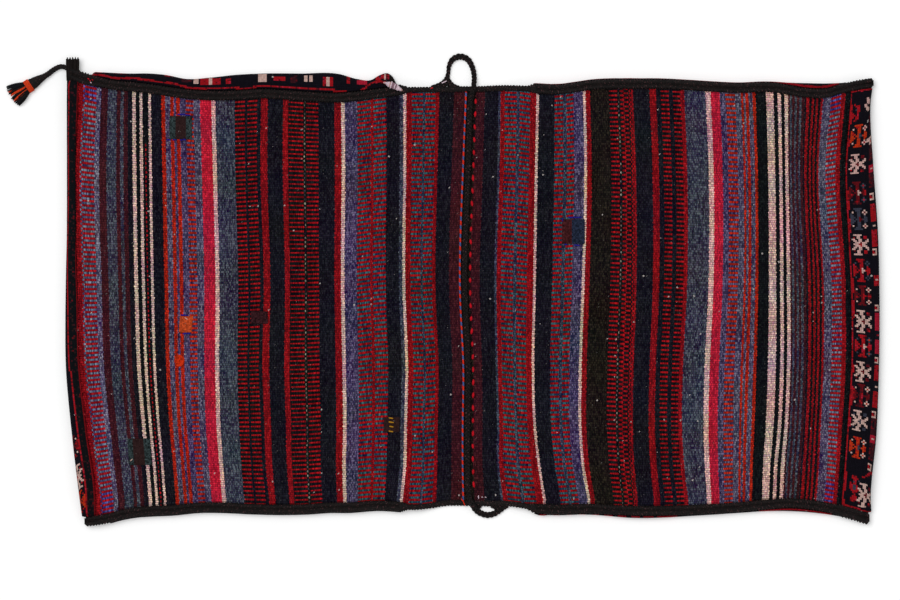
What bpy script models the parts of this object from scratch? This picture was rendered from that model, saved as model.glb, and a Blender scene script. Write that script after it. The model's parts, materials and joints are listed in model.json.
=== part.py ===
"""Double saddle bag, woven in one long strip, laid flat with its pile faces down.

The strip runs pile face, fold, kilim back, bridge, kilim back, fold, pile face, and
is closed down its sides by goat-hair seams. +X runs along the bag, +Y across it and
+Z up from the surface that it lies on. All lengths below are in millimetres.
"""

import math

import bmesh
import bpy
import numpy as np

MM = 0.001

# Layers of cloth
KILIM_THICKNESS = 3.0
PILE_THICKNESS = 8.0
POUCH_GAP = 9.0          # room between the two layers of an empty pouch
PILE_STEP = 2.0          # how far the pile stands above the kilim beside it
CLEARANCE = 0.3          # between touching pieces
SEAM_CLEARANCE = 0.6     # between the seams and the cloth edges beside them

# Seams and edges
SEAM_WIDTH = 15.0        # the two overcast ropes of goat hair that close a pouch
SEAM_HEIGHT = 8.0
SEAM_SQUEEZE = 1.3       # how far the pile is pressed down under a seam
SELVEDGE_WIDTH = 8.5     # the single overcast edge of the bridge
SELVEDGE_HEIGHT = 6.0
SIDE_RISE = 25.0         # the back climbs from its seam to full height in this width
LIP_HEIGHT = 5.0         # pile that curls up beside a seam
LIP_LEAST = 1.2          # least width of that curl
LIP_FLARE = 4.0          # a curl this much wider has its full height

# Places along the bag, where it lies flat at mid width
KILIM_START = -582.0
LEFT_MOUTH = -106.0
RIGHT_MOUTH = 90.0
MOUTH_LEDGE = 13.0       # the back stays level this far past a mouth
BRIDGE_FALL = 50.0       # length in which it then sinks to the ground
FOLD_REACH_TOP = 14.0    # length of the fold at a pouch's foot, above and below
FOLD_REACH_UNDER = 12.0
CORNER_SINK = 60.0       # this near a corner the pile's curl sinks under the seam,
CORNER_TUCK = 42.0       # then the pile draws in beside it,
CORNER_DROP = 22.0       # and the seam reaches down to the ground
FOOT_HALF_WIDTH = 320.0

# Braid sewn across the bridge, whose ends stand out as loops
BRAID_WIDTH = 8.4
BRAID_HEIGHT = 5.6
BRAID_STATION = -13.0
BRAID_CLIMB = 15.0       # length in which it climbs onto a selvedge
TWINE_DIAMETER = 2.0
TWINE_STATION = -22.0

# Darns and loose ends
DARN_THICKNESS = 0.8
TASSEL_CORD_DIAMETER = 7.0
TASSEL_HEAD_LENGTH = 23.0
TASSEL_HEAD_WIDTH = 17.0
TASSEL_WRAP_WIDTH = 20.0
TASSEL_WRAP_LENGTH = 7.0
TASSEL_SKIRT_WIDTH = 38.0
TASSEL_SKIRT_LENGTH = 28.0
TASSEL_HEIGHT = 10.0
TUFT_HEIGHT = 8.0

# Centre lines of the seams and bridge edges, from the left corner to the right one
UPPER_SEAM = ((-592, 319), (-576, 312), (-552, 306), (-524, 301), (-500, 299), (-468, 295),
              (-418, 288), (-381, 286), (-343, 287), (-311, 289), (-275, 287), (-233, 284),
              (-196, 283), (-166, 286), (-128, 291), (-105, 294), (-64, 295), (-27, 296),
              (7, 296), (39, 298), (69, 298), (95, 297), (125, 296), (150, 299), (175, 302),
              (200, 303), (233, 303), (275, 303), (316, 301), (347, 299), (388, 297),
              (439, 298), (466, 294), (492, 290), (521, 290), (542, 296), (563, 301), (586, 305))
LOWER_SEAM = ((-569, -340), (-552, -338), (-533, -334), (-518, -330), (-496, -326), (-468, -324),
              (-444, -323), (-402, -319), (-370, -319), (-327, -321), (-277, -322), (-239, -321),
              (-212, -319), (-184, -319), (-137, -316), (-105, -318), (-86, -319), (-64, -317),
              (-37, -313), (-11, -313), (25, -314), (53, -314), (70, -316), (89, -320),
              (114, -322), (169, -322), (216, -325), (238, -326), (291, -325), (336, -322),
              (397, -318), (429, -315), (470, -313), (508, -317), (546, -325), (576, -334))
# Where the pile faces reach outside their seams
UPPER_PILE = ((-592, 326), (-566, 322), (-549, 321), (-505, 319), (-475, 319), (-453, 317),
              (-421, 311), (-387, 313), (-350, 317), (-311, 319), (-255, 319), (-196, 318),
              (-171, 311), (-149, 311), (-133, 317), (-122, 317), (-113, 308), (-105, 302),
              (92, 304), (150, 306), (200, 311), (275, 311), (347, 307), (388, 305), (439, 306),
              (466, 303), (492, 302), (521, 302), (542, 304), (586, 306))
LOWER_PILE = ((-569, -348), (-402, -327), (-277, -330), (-137, -324), (-105, -326), (89, -328),
              (98, -332), (169, -330), (238, -335), (336, -331), (397, -327), (429, -325),
              (470, -325), (508, -328), (546, -334), (576, -343))
# Foot of each pouch, as x at each y
LEFT_FOOT = ((-348, -569), (-338, -574), (-316, -578), (-279, -584), (-235, -588), (-191, -593),
             (-132, -596), (-73, -597), (-14, -598), (100, -598), (315, -598))
RIGHT_FOOT = ((-343, 577), (-335, 583), (-308, 585), (-279, 586), (-235, 591), (-191, 595),
              (-117, 597), (-44, 598), (30, 597), (118, 594), (191, 588), (243, 583), (280, 585),
              (305, 589))

# How far handling has dragged the stripes along the bag, at each height across it
DRIFT_HEIGHTS = (-308, -257, -205, -117, 0, 191, 287)
STRIPE_DRIFT = {
    -578: (27, 20, 14, 3, 0, 0, 0),
    -490: (20, 16, 11, 4, 0, -3, -4),
    -388: (10, 6, 2, 0, 0, -4, -7),
    -308: (8, 3, 1, -2, 0, -5, -4),
    -191: (3, 2, 3, 2, 0, 1, 0),
    -103: (-4, 1, 2, 4, 0, 1, 1),
    -18: (5, 4, 4, 5, 0, 5, 8),
    38: (10, 4, 4, 2, 0, 5, 6),
    89: (15, 7, 1, -2, 0, 3, 5),
    161: (9, 0, -4, -4, 0, 4, 2),
    241: (2, -3, -5, -4, 0, -1, -5),
    313: (2, -4, -7, -6, 0, 0, -4),
    388: (-7, -7, -7, -5, 0, 0, -4),
    454: (-11, -9, -4, 0, 0, -2, -4),
    527: (-11, -7, -5, -1, 0, -9, 0),
    558: (-14, -10, -6, 0, 0, -8, 0),
}

YARNS = {
    "goat": "1c1817", "black": "111114", "navy": "15151c", "slate": "36394a", "violet": "443a5c",
    "lilac": "5c5670", "teal": "2e4154", "maroon": "3c161d", "red": "7e1018", "crimson": "9c1830",
    "orange": "a02412", "cream": "c0a09a", "beige": "b69488", "pale": "c9aeb4", "brown": "2c1816",
    "green": "1c3432", "patch_maroon": "4a1a20", "patch_navy": "182a44", "patch_orange": "b04a18",
    "flame": "b8301a",
}

# The stripes of the back from left to right: width and yarn, or the two yarns of a band
# whose warps take them in turn
STRIPES = (
    (7.0, "red"), (21.0, "red+slate"), (7.0, "lilac"), (10.0, "maroon"), (14.5, "slate"),
    (17.5, "maroon"), (7.0, "navy"), (6.0, "cream"), (5.0, "black"), (5.0, "cream"),
    (8.0, "black"), (5.0, "cream"), (14.5, "navy"), (5.5, "orange"), (8.0, "violet"),
    (14.5, "orange+violet"), (8.5, "violet"), (12.0, "orange+violet"), (10.0, "violet"),
    (16.0, "crimson"), (6.5, "cream"), (28.0, "slate"), (30.0, "red+navy"), (5.0, "navy"),
    (10.0, "red"), (23.0, "navy"), (5.5, "red"), (46.0, "red+goat"), (22.0, "navy"),
    (10.0, "red"), (4.5, "cream"), (18.5, "violet"), (42.0, "red+teal"), (19.5, "navy"),
    (5.0, "slate"), (3.5, "cream"), (8.0, "red"), (33.5, "red+teal"), (3.5, "red"),
    (19.5, "navy"), (16.0, "maroon"), (17.5, "goat"), (14.5, "maroon"), (20.5, "navy"),
    (3.0, "teal"), (6.0, "red"), (37.0, "red+teal"), (9.5, "red"), (4.0, "cream"),
    (24.0, "navy"), (28.0, "red+teal"), (14.5, "violet"), (3.5, "cream"), (6.5, "red"),
    (32.5, "goat"), (36.5, "red+goat"), (5.5, "red"), (21.5, "navy"), (10.5, "red"),
    (7.0, "navy"), (27.5, "red+navy"), (5.5, "red"), (31.0, "slate"), (8.0, "cream"),
    (13.0, "crimson"), (8.0, "violet"), (14.5, "orange+violet"), (8.5, "violet"),
    (11.5, "orange+violet"), (6.0, "violet"), (4.5, "orange"), (15.5, "black"),
    (10.5, "beige"), (5.5, "black"), (4.5, "cream"), (5.5, "black"), (4.0, "cream"),
    (27.5, "maroon+slate"), (23.0, "red+black"), (12.0, "violet"), (20.5, "red+slate"),
    (7.5, "goat"),
)

TOP = PILE_THICKNESS + POUCH_GAP + KILIM_THICKNESS
SEAT = PILE_THICKNESS - SEAM_SQUEEZE
SEAM_FOOT = SEAT + CLEARANCE
SEAM_MIDDLE = SEAM_FOOT + SEAM_HEIGHT / 2
EDGE_TOP = SEAM_FOOT + SEAM_HEIGHT - 1.0
EDGE_ROWS = (0.0, 0.2, 0.5, 1.0)     # rows beside a seam, as shares of SIDE_RISE
INNER_ROWS = 5                       # further rows across the cloth
FOLD_STEPS = 6
CORNER_SHARES = (0.17, 0.34, 0.5, 0.66, 0.82)
CORNER_PLACES = (36.0, 23.0, 17.0, 11.0, 5.0, 0.0)
SEAM_STEP = 22.0
SELVEDGE_MEET = 12.0                 # length in which a seam narrows to a selvedge

# Outline of a seam cut across: a flat foot under two ropes with a groove between
SEAM_SECTION = ((0.8, -1.0), (1.0, -0.2), (0.86, 0.6), (0.5, 1.0), (0.14, 0.72), (0.0, 0.42),
                (-0.14, 0.72), (-0.5, 1.0), (-0.86, 0.6), (-1.0, -0.2), (-0.8, -1.0))


def smooth(x, points):
    """Height at x of the soft curve through a list of points."""
    xs, ys = np.array(points, dtype=float).T
    slopes = np.gradient(ys, xs)
    i = int(np.clip(np.searchsorted(xs, x) - 1, 0, len(xs) - 2))
    span = xs[i + 1] - xs[i]
    t = float(np.clip((x - xs[i]) / span, 0.0, 1.0))
    start = (2 * t**3 - 3 * t**2 + 1) * ys[i] + (t**3 - 2 * t**2 + t) * span * slopes[i]
    end = (3 * t**2 - 2 * t**3) * ys[i + 1] + (t**3 - t**2) * span * slopes[i + 1]
    return float(start + end)


def ease(t):
    """Soft step from 0 to 1."""
    t = min(max(t, 0.0), 1.0)
    return t * t * (3 - 2 * t)


def mix(a, b, t):
    return a + (b - a) * t


def spread(start, stop, step):
    """Even places from start to stop, about a step apart."""
    count = max(2, round(abs(stop - start) / step))
    return [mix(start, stop, k / count) for k in range(count + 1)]


def drift(station, y):
    """How far a stripe at this station is dragged along the bag at height y."""
    stations = sorted(STRIPE_DRIFT)
    shifts = [smooth(y, list(zip(DRIFT_HEIGHTS, STRIPE_DRIFT[s]))) for s in stations]
    return float(np.interp(station, stations, shifts))


def edge_half(x):
    """Half width of the goat-hair edging at x: a seam on a pouch, a selvedge between."""
    inside = min(x - LEFT_MOUTH, RIGHT_MOUTH - x)
    return mix(SEAM_WIDTH, SELVEDGE_WIDTH, ease(inside / SELVEDGE_MEET)) / 2


def pouch_share(x):
    """1 where the back lies on a pouch, 0 where the bridge lies on the ground."""
    inside = min(x - LEFT_MOUTH, RIGHT_MOUTH - x) - MOUTH_LEDGE
    return 1.0 - ease(inside / BRIDGE_FALL)


def seam_line(x, side):
    return smooth(x, UPPER_SEAM if side > 0 else LOWER_SEAM)


def pile_line(x, side):
    return smooth(x, UPPER_PILE if side > 0 else LOWER_PILE)


def back_edge(station, side):
    """Point of the back's edge at a station: x and y just inside the edging."""
    y = seam_line(station, side)
    for _ in range(3):
        x = station + drift(station, y)
        y = seam_line(x, side) - side * (edge_half(x) + SEAM_CLEARANCE)
    return x, y


def back_height(x, depth):
    """Upper surface of the back at x, this deep inside its edge."""
    rise = math.sin(math.pi / 2 * min(depth / SIDE_RISE, 1.0))
    on_pouch = mix(EDGE_TOP, TOP, rise)
    return mix(KILIM_THICKNESS, on_pouch, pouch_share(x))


def back_rows(low, high):
    """Heights y of the rows across the back, with how deep each lies inside the edge."""
    rows = [(low + share * SIDE_RISE, share * SIDE_RISE) for share in EDGE_ROWS]
    first, last = low + SIDE_RISE, high - SIDE_RISE
    for k in range(1, INNER_ROWS + 1):
        rows.append((mix(first, last, k / (INNER_ROWS + 1)), SIDE_RISE))
    rows += [(high - share * SIDE_RISE, share * SIDE_RISE) for share in reversed(EDGE_ROWS)]
    return rows


def back_column(station, lift=0.0, shift=0.0):
    """Outer and inner points across the back at one station."""
    low = back_edge(station, -1)[1]
    high = back_edge(station, 1)[1]
    outer, inner = [], []
    for y, depth in back_rows(low, high):
        x = station + drift(station, y) + shift
        z = back_height(x, depth)
        outer.append((x, y, z + lift * min(depth / SIDE_RISE, 1.0)))
        inner.append((x, y, z - KILIM_THICKNESS))
    return outer, inner


def pile_side(x, side, to_foot):
    """Outer and inner points of a pile face's side, which curls up round a seam. Towards a
    corner the curl sinks under the seam, and then the pile draws in beside it."""
    seam = seam_line(x, side)
    half = edge_half(x)
    root = seam + side * half
    edge = seam - side * (half + SEAM_CLEARANCE)
    sunk = 1.0 - ease((to_foot - CORNER_TUCK) / (CORNER_SINK - CORNER_TUCK))
    drawn = 1.0 - ease((to_foot - CORNER_DROP) / (CORNER_TUCK - CORNER_DROP))
    reach = max(side * (pile_line(x, side) - root), LIP_LEAST)
    curl = mix(1.0, LIP_HEIGHT, ease((reach - LIP_LEAST) / LIP_FLARE))
    lip = SEAT + curl * (1.0 - sunk) - 0.2 * sunk
    inner_lip = mix(SEAT, lip, 0.9)
    start = 0.7 * LIP_LEAST
    outer = ((root + side * start, lip), (root + side * mix(start, reach, 0.7), lip),
             (root + side * reach, lip / 2), (root + side * (reach - 5.0), 0.0))
    inner = ((root + side * (start - 0.1), inner_lip), (root - side * 0.6, SEAT),
             (seam - side * (half - 1.0), SEAT), (seam - side * (half + 6.0), PILE_THICKNESS))
    drawn_outer = ((edge, 4.6), (edge - side * 1.0, 1.8), (edge - side * 3.5, 0.5),
                   (edge - side * 8.0, 0.0))
    drawn_inner = ((edge - side * 0.1, 4.8), (edge - side * 1.5, SEAT), (edge - side * 6.0, SEAT),
                   (edge - side * 12.0, PILE_THICKNESS))
    return [[(mix(a[0], b[0], drawn), mix(a[1], b[1], drawn)) for a, b in zip(plain, tucked)]
            for plain, tucked in ((outer, drawn_outer), (inner, drawn_inner))]


def foot_line(y, end):
    return smooth(y, RIGHT_FOOT if end > 0 else LEFT_FOOT)


def pile_column(x, end, slide=0.0):
    """Outer and inner points across a pile face at x, slid towards the foot's line."""
    def place(y):
        return mix(x, foot_line(y, end) - end * FOLD_REACH_UNDER, slide)

    sides = {}
    for side in (-1, 1):
        here = place(seam_line(x, side))
        to_foot = end * (foot_line(seam_line(here, side), end) - here)
        sides[side] = pile_side(here, side, to_foot)
    columns = []
    for layer, flat in ((0, 0.0), (1, PILE_THICKNESS)):
        low, high = sides[-1][layer], sides[1][layer]
        points = list(low)
        for k in range(1, INNER_ROWS + 1):
            points.append((mix(low[-1][0], high[-1][0], k / (INNER_ROWS + 1)), flat))
        points += reversed(high)
        columns.append([(place(y), y, z) for y, z in points])
    return columns


def fold_top(end):
    """Outer and inner points where the pile, folded over the foot, lies on the back."""
    def edge(side):
        x = foot_line(side * FOOT_HALF_WIDTH, end) - end * FOLD_REACH_TOP
        return seam_line(x, side) - side * (edge_half(x) + SEAM_CLEARANCE)

    outer, inner = [], []
    for y, depth in back_rows(edge(-1), edge(1)):
        x = foot_line(y, end) - end * FOLD_REACH_TOP
        z = back_height(x, depth)
        outer.append((x, y, z + PILE_STEP * min(depth / SIDE_RISE, 1.0)))
        inner.append((x, y, z - KILIM_THICKNESS))
    return outer, inner


def fold_columns(end):
    """Columns round the foot of a pouch, from the pile face below to the back above."""
    under = pile_column(foot_line(0.0, end) - end * FOLD_REACH_UNDER, end, slide=1.0)
    above = fold_top(end)
    columns = []
    for k in range(FOLD_STEPS + 1):
        angle = math.pi * (k / FOLD_STEPS - 0.5)
        share = (1 + math.sin(angle)) / 2
        reach = FOLD_REACH_TOP if angle > 0 else FOLD_REACH_UNDER
        layers = []
        for layer in (0, 1):
            nose = PILE_THICKNESS if layer else 0.0
            points = []
            for low, high in zip(under[layer], above[layer]):
                y = mix(low[1], high[1], share)
                inset = nose + (reach - nose) * (1 - math.cos(angle))
                points.append((foot_line(y, end) - end * inset, y, mix(low[2], high[2], share)))
            layers.append(points)
        columns.append(layers)
    return columns


def side_places(end, mouth):
    """Places along a pouch's side from its mouth to where its corner begins."""
    return spread(mouth, foot_line(0.0, end) - end * (FOLD_REACH_UNDER + CORNER_SINK), SEAM_STEP)


def strip_columns():
    """All columns of the cloth in the order of the strip, with the yarn that follows each."""
    columns, yarns = [], []

    def add(column, yarn):
        columns.append(column)
        yarns.append(yarn)

    def pile_places(end, mouth):
        straight = side_places(end, mouth)
        return [(x, 0.0) for x in straight] + [(straight[-1], share) for share in CORNER_SHARES]

    for x, share in pile_places(-1, LEFT_MOUTH):
        add(pile_column(x, -1, share), "navy")
    for column in fold_columns(-1):
        add(column, "navy")
    add(back_column(KILIM_START, lift=PILE_STEP, shift=-1.0), "navy")
    station = KILIM_START
    for stripe in STRIPES:
        add(back_column(station), stripe[1])
        station += stripe[0]
    add(back_column(station), "maroon")
    add(back_column(station, lift=PILE_STEP, shift=1.0), "navy")
    for column in reversed(fold_columns(1)):
        add(column, "navy")
    for x, share in reversed(pile_places(1, RIGHT_MOUTH)):
        add(pile_column(x, 1, share), "navy")
    return columns, yarns


def linear_colour(code):
    """Linear colour of an sRGB hex code."""
    srgb = [int(code[i:i + 2], 16) / 255 for i in (0, 2, 4)]
    return [c / 12.92 if c <= 0.04045 else ((c + 0.055) / 1.055) ** 2.4 for c in srgb]


def yarn_material(yarn):
    """Wool or goat hair of one dye, or the blend that two yarns in turn give."""
    name = yarn.replace("+", "_and_")
    material = bpy.data.materials.get(name)
    if material is None:
        material = bpy.data.materials.new(name)
        material.use_nodes = True
        shader = material.node_tree.nodes["Principled BSDF"]
        blend = np.mean([linear_colour(YARNS[part]) for part in yarn.split("+")], axis=0)
        shader.inputs["Base Color"].default_value = (*blend, 1.0)
        shader.inputs["Roughness"].default_value = 0.9
        shader.inputs["Metallic"].default_value = 0.0
    return material


def finish(name, bm, yarns, root):
    """Turn millimetre geometry into a named object in metres."""
    bmesh.ops.recalc_face_normals(bm, faces=bm.faces)
    for vert in bm.verts:
        vert.co *= MM
    mesh = bpy.data.meshes.new(name)
    bm.to_mesh(mesh)
    bm.free()
    for yarn in yarns:
        mesh.materials.append(yarn_material(yarn))
    mesh.shade_smooth()
    mesh.set_sharp_from_angle(angle=math.radians(40))
    obj = bpy.data.objects.new(name, mesh)
    obj.parent = root
    bpy.context.scene.collection.objects.link(obj)
    return obj


def bag_cloth(root):
    """The whole woven strip: two pile faces, two backs and the bridge, folded at the feet."""
    columns, yarns = strip_columns()
    used = list(dict.fromkeys(yarns))
    bm = bmesh.new()
    grid = [[[bm.verts.new(p) for p in layer] for layer in column] for column in columns]
    rows = len(grid[0][0])
    for k in range(len(grid) - 1):
        here, there = grid[k], grid[k + 1]
        for j in range(rows - 1):
            face = bm.faces.new((here[0][j], there[0][j], there[0][j + 1], here[0][j + 1]))
            face.material_index = used.index(yarns[k])
            bm.faces.new((here[1][j], here[1][j + 1], there[1][j + 1], there[1][j]))
        for j in (0, rows - 1):
            bm.faces.new((here[0][j], here[1][j], there[1][j], there[0][j]))
    for k in (0, len(grid) - 1):
        outer, inner = grid[k]
        for j in range(rows - 1):
            bm.faces.new((outer[j], outer[j + 1], inner[j + 1], inner[j]))
    return finish("bag_cloth", bm, used, root)


def sweep(name, path, sizes, section, yarn, root, across=None):
    """A closed solid that carries a section along a path, sized at each point."""
    points = np.array(path, dtype=float)
    ahead = np.gradient(points, axis=0)
    bm = bmesh.new()
    rings = []
    for i, (point, size) in enumerate(zip(points, sizes)):
        if across is None:
            side = np.array((-ahead[i][1], ahead[i][0], 0.0))
            side /= np.linalg.norm(side)
        else:
            side = np.array(across, dtype=float)
        ring = [bm.verts.new(point + side * u * size[0] / 2 + np.array((0, 0, v * size[1] / 2)))
                for u, v in section]
        rings.append(ring)
    count = len(section)
    for a, b in zip(rings, rings[1:]):
        for j in range(count):
            bm.faces.new((a[j], a[(j + 1) % count], b[(j + 1) % count], b[j]))
    bm.faces.new(rings[0])
    bm.faces.new(rings[-1])
    return finish(name, bm, [yarn], root)


def round_section(count, power=1.0):
    """Points round an oval, squarer where power is under 1."""
    turns = [2 * math.pi * k / count for k in range(count)]

    def press(value):
        return math.copysign(abs(value) ** power, value)

    return [(press(math.cos(a)), press(math.sin(a))) for a in turns]


def pouch_seam(name, start, stop, side, end, root):
    """The double rope of goat hair that closes one side of a pouch."""
    path, sizes = [], []
    for x in side_places(end, start) + [stop - end * back for back in CORNER_PLACES]:
        y = seam_line(x, side)
        to_foot = end * (foot_line(y, end) - x)
        foot = mix(SEAM_FOOT, 1.0, 1.0 - ease((to_foot - 4.0) / (CORNER_DROP - 4.0)))
        height = SEAM_FOOT + SEAM_HEIGHT - foot
        path.append((x, y, foot + height / 2))
        sizes.append((2 * edge_half(x), height))
    return sweep(name, path, sizes, SEAM_SECTION, "goat", root, across=(0, 1, 0))


def bridge_selvedge(name, side, root):
    """The single overcast edge of the bridge, which follows the cloth down to the ground."""
    path, sizes = [], []
    for x in spread(LEFT_MOUTH + SEAM_CLEARANCE, RIGHT_MOUTH - SEAM_CLEARANCE, SEAM_STEP / 2):
        share = pouch_share(x)
        middle = mix(SELVEDGE_HEIGHT / 2, SEAM_MIDDLE, share)
        path.append((x, seam_line(x, side), middle))
        sizes.append((2 * edge_half(x), SELVEDGE_HEIGHT))
    return sweep(name, path, sizes, round_section(8), "goat", root, across=(0, 1, 0))


def soft_path(points, step):
    """A run through hand-set points, smooth in plan, read off every step."""
    pts = np.array(points, dtype=float)
    runs = np.concatenate([[0.0], np.cumsum(np.linalg.norm(np.diff(pts, axis=0), axis=1))])
    route = []
    for place in spread(0.0, runs[-1], step):
        plan = [smooth(place, list(zip(runs, pts[:, axis]))) for axis in (0, 1)]
        rest = [float(np.interp(place, runs, pts[:, axis])) for axis in range(2, pts.shape[1])]
        route.append(plan + rest)
    return route


def centre_braid(root):
    """Goat-hair braid sewn across the bridge. Its ends stand out as a tall loop above
    and a flat one below, and are sewn down outside the selvedges."""
    half = BRAID_HEIGHT / 2
    on_ground = half + 0.1
    on_cloth = KILIM_THICKNESS + CLEARANCE + half
    on_edge = SELVEDGE_HEIGHT + CLEARANCE + half
    full = 1.0
    upper = ((-55, 301.2, on_ground, 0.3), (-49, 302.2, on_ground, 0.5), (-43, 304.6, on_ground, 0.85),
             (-39, 309.5, on_ground, full), (-37.5, 318, on_ground, full),
             (-36, 330, on_ground, full), (-30, 339.6, on_ground, full),
             (-20, 343.6, on_ground, full), (-9, 340, on_ground, full), (-2, 330, on_ground, full),
             (1, 316, on_ground + 1.0, full), (0, 302, on_edge - 0.3, full),
             (-1, 296, on_edge + 0.6, full), (-3, 289, on_edge - 0.3, full))
    top = back_edge(BRAID_STATION, 1)[1] - BRAID_CLIMB
    bottom = back_edge(BRAID_STATION, -1)[1] + BRAID_CLIMB
    straight = [(BRAID_STATION + drift(BRAID_STATION, y), y, on_cloth, full)
                for y in spread(top, bottom, 40.0)]
    lower = ((-5, -306, on_edge - 0.3, full), (-1, -313, on_edge + 0.6, full),
             (3, -320, on_edge - 0.3, full), (10, -328, on_ground + 0.6, full),
             (22, -331.5, on_ground, full), (33, -329, on_ground, full),
             (41, -324.6, on_ground, 0.95), (47, -321.8, on_ground, 0.6), (53, -320.2, on_ground, 0.3))
    route = soft_path(list(upper) + straight + list(lower), 8.0)
    path = [(x, y, z) for x, y, z, _ in route]
    sizes = [(BRAID_WIDTH * share, BRAID_HEIGHT * mix(share, 1.0, 0.4)) for *_, share in route]
    return sweep("centre_braid", path, sizes, round_section(8), "goat", root)


def centre_twine(root):
    """Red and blue thread twined down the left of the braid."""
    radius = TWINE_DIAMETER / 2
    z = KILIM_THICKNESS + CLEARANCE + radius
    top = back_edge(TWINE_STATION, 1)[1] - 2.0
    bottom = back_edge(TWINE_STATION, -1)[1] + 2.0
    path = [(TWINE_STATION + drift(TWINE_STATION, y), y, z) for y in spread(top, bottom, 30.0)]
    sizes = [(TWINE_DIAMETER, TWINE_DIAMETER)] * len(path)
    return sweep("centre_twine", path, sizes, round_section(6), "flame", root)


def darn(name, fields, low, high, lean, root):
    """A mend woven into the back: fields of yarn side by side in one thin piece."""
    foot = TOP + CLEARANCE
    lines = [fields[0][0]] + [field[1] for field in fields]
    yarns = list(dict.fromkeys(field[2] for field in fields))
    bm = bmesh.new()
    layers = [[[bm.verts.new((x + shift, y, z)) for x in lines] for y, shift in ((low, lean), (high, 0.0))]
              for z in (foot, foot + DARN_THICKNESS)]
    for k in range(len(fields)):
        for layer in layers:
            face = bm.faces.new((layer[0][k], layer[0][k + 1], layer[1][k + 1], layer[1][k]))
            face.material_index = yarns.index(fields[k][2])
        for row in (0, 1):
            bm.faces.new((layers[0][row][k], layers[0][row][k + 1],
                          layers[1][row][k + 1], layers[1][row][k]))
    for k in (0, len(lines) - 1):
        bm.faces.new((layers[0][0][k], layers[0][1][k], layers[1][1][k], layers[1][0][k]))
    return finish(name, bm, yarns, root)


def round_darn(name, centre, radii, yarn, root):
    """A small hole drawn together with a round darn."""
    foot = TOP + CLEARANCE
    bm = bmesh.new()
    rings = [[bm.verts.new((centre[0] + radii[0] * u, centre[1] + radii[1] * v, z))
              for u, v in round_section(14)] for z in (foot, foot + DARN_THICKNESS)]
    for a, b in zip(range(14), list(range(1, 14)) + [0]):
        bm.faces.new((rings[0][a], rings[0][b], rings[1][b], rings[1][a]))
    for ring in rings:
        bm.faces.new(ring)
    return finish(name, bm, [yarn], root)


def darns(root):
    darn("upper_left_darn", ((-446.5, -438, "green"), (-438, -422, "brown"), (-422, -413.5, "green")),
         222, 256, 0.0, root)
    darn("orange_darn", ((-431, -412, "patch_orange"),), -62, -38, -2.0, root)
    round_darn("round_orange_darn", (-432, -103.5), (7.5, 9.0), "patch_orange", root)
    darn("maroon_darn", ((-327, -302, "patch_maroon"),), -49.5, -31, 0.0, root)
    darn("lower_left_darn", ((-508.5, -501, "green"), (-501, -485, "brown"), (-485, -475.5, "green")),
         -257, -218, 3.0, root)
    darn("brown_darn", ((-131, -108, "brown"),), -208.5, -186.5, -1.0, root)
    darn("right_darn", ((130.5, 145, "patch_maroon"), (145, 164, "patch_navy")), 68, 104.5, 0.0, root)


def mouth_whipping(root):
    """Pale thread whipped round the upper corner of the left mouth."""
    foot = SEAM_FOOT + SEAM_HEIGHT + CLEARANCE
    route = ((-131, 304, 0.35), (-126, 303.5, 0.8), (-119, 301, 1.0), (-112, 298.5, 0.8), (-106.5, 296, 0.3))
    path = [(x, y, foot + 2.0) for x, y, _ in route]
    sizes = [(9.0 * share, 4.0) for *_, share in route]
    return sweep("mouth_whipping", path, sizes, round_section(8, 0.8), "pale", root, across=(0, 1, 0))


def fan(name, root_point, aim, reach, widths, heights, lobes, base, yarns, root):
    """A bundle of loose ends that spreads from a root along a direction in plan."""
    aim = np.array((math.cos(aim), math.sin(aim), 0.0))
    side = np.array((-aim[1], aim[0], 0.0))
    bm = bmesh.new()
    rings = []
    count = lobes * 4
    for share in (0.0, 0.3, 0.65, 1.0):
        width = mix(widths[0], widths[1], share)
        height = mix(heights[0], heights[1], share)
        groove = 0.22 * share
        ring = []
        for k in range(count):
            turn = 2 * math.pi * k / count
            depth = 1.0 - groove * (0.5 - 0.5 * math.cos(turn * lobes))
            u, v = math.cos(turn) * depth, math.sin(turn) * depth
            lag = 0.12 * reach * share * abs(u) ** 2
            centre = np.array((root_point[0], root_point[1], base + height / 2))
            place = centre + aim * (reach * share - lag) + side * u * width / 2
            ring.append(bm.verts.new(place + np.array((0, 0, v * height / 2))))
        rings.append(ring)
    for a, b in zip(rings, rings[1:]):
        for k in range(count):
            bm.faces.new((a[k], a[(k + 1) % count], b[(k + 1) % count], b[k]))
    bm.faces.new(rings[0])
    bm.faces.new(rings[-1])
    return finish(name, bm, yarns, root)


# The tassel lies on the ground to the left of the corner, and points down and away
TASSEL_AIM = math.radians(212)
TASSEL_CORD_ROUTE = ((UPPER_SEAM[0][0] - CLEARANCE, 322.6, 6.4), (-595.5, 322.6, 6.2),
                     (-600.5, 326.4, 5.2), (-607, 329, 4.3), (-613.5, 327, 3.8), (-620, 322.8, 3.7),
                     (-625.5, 318.44, 4.3), (-631, 315, 4.6))


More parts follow.
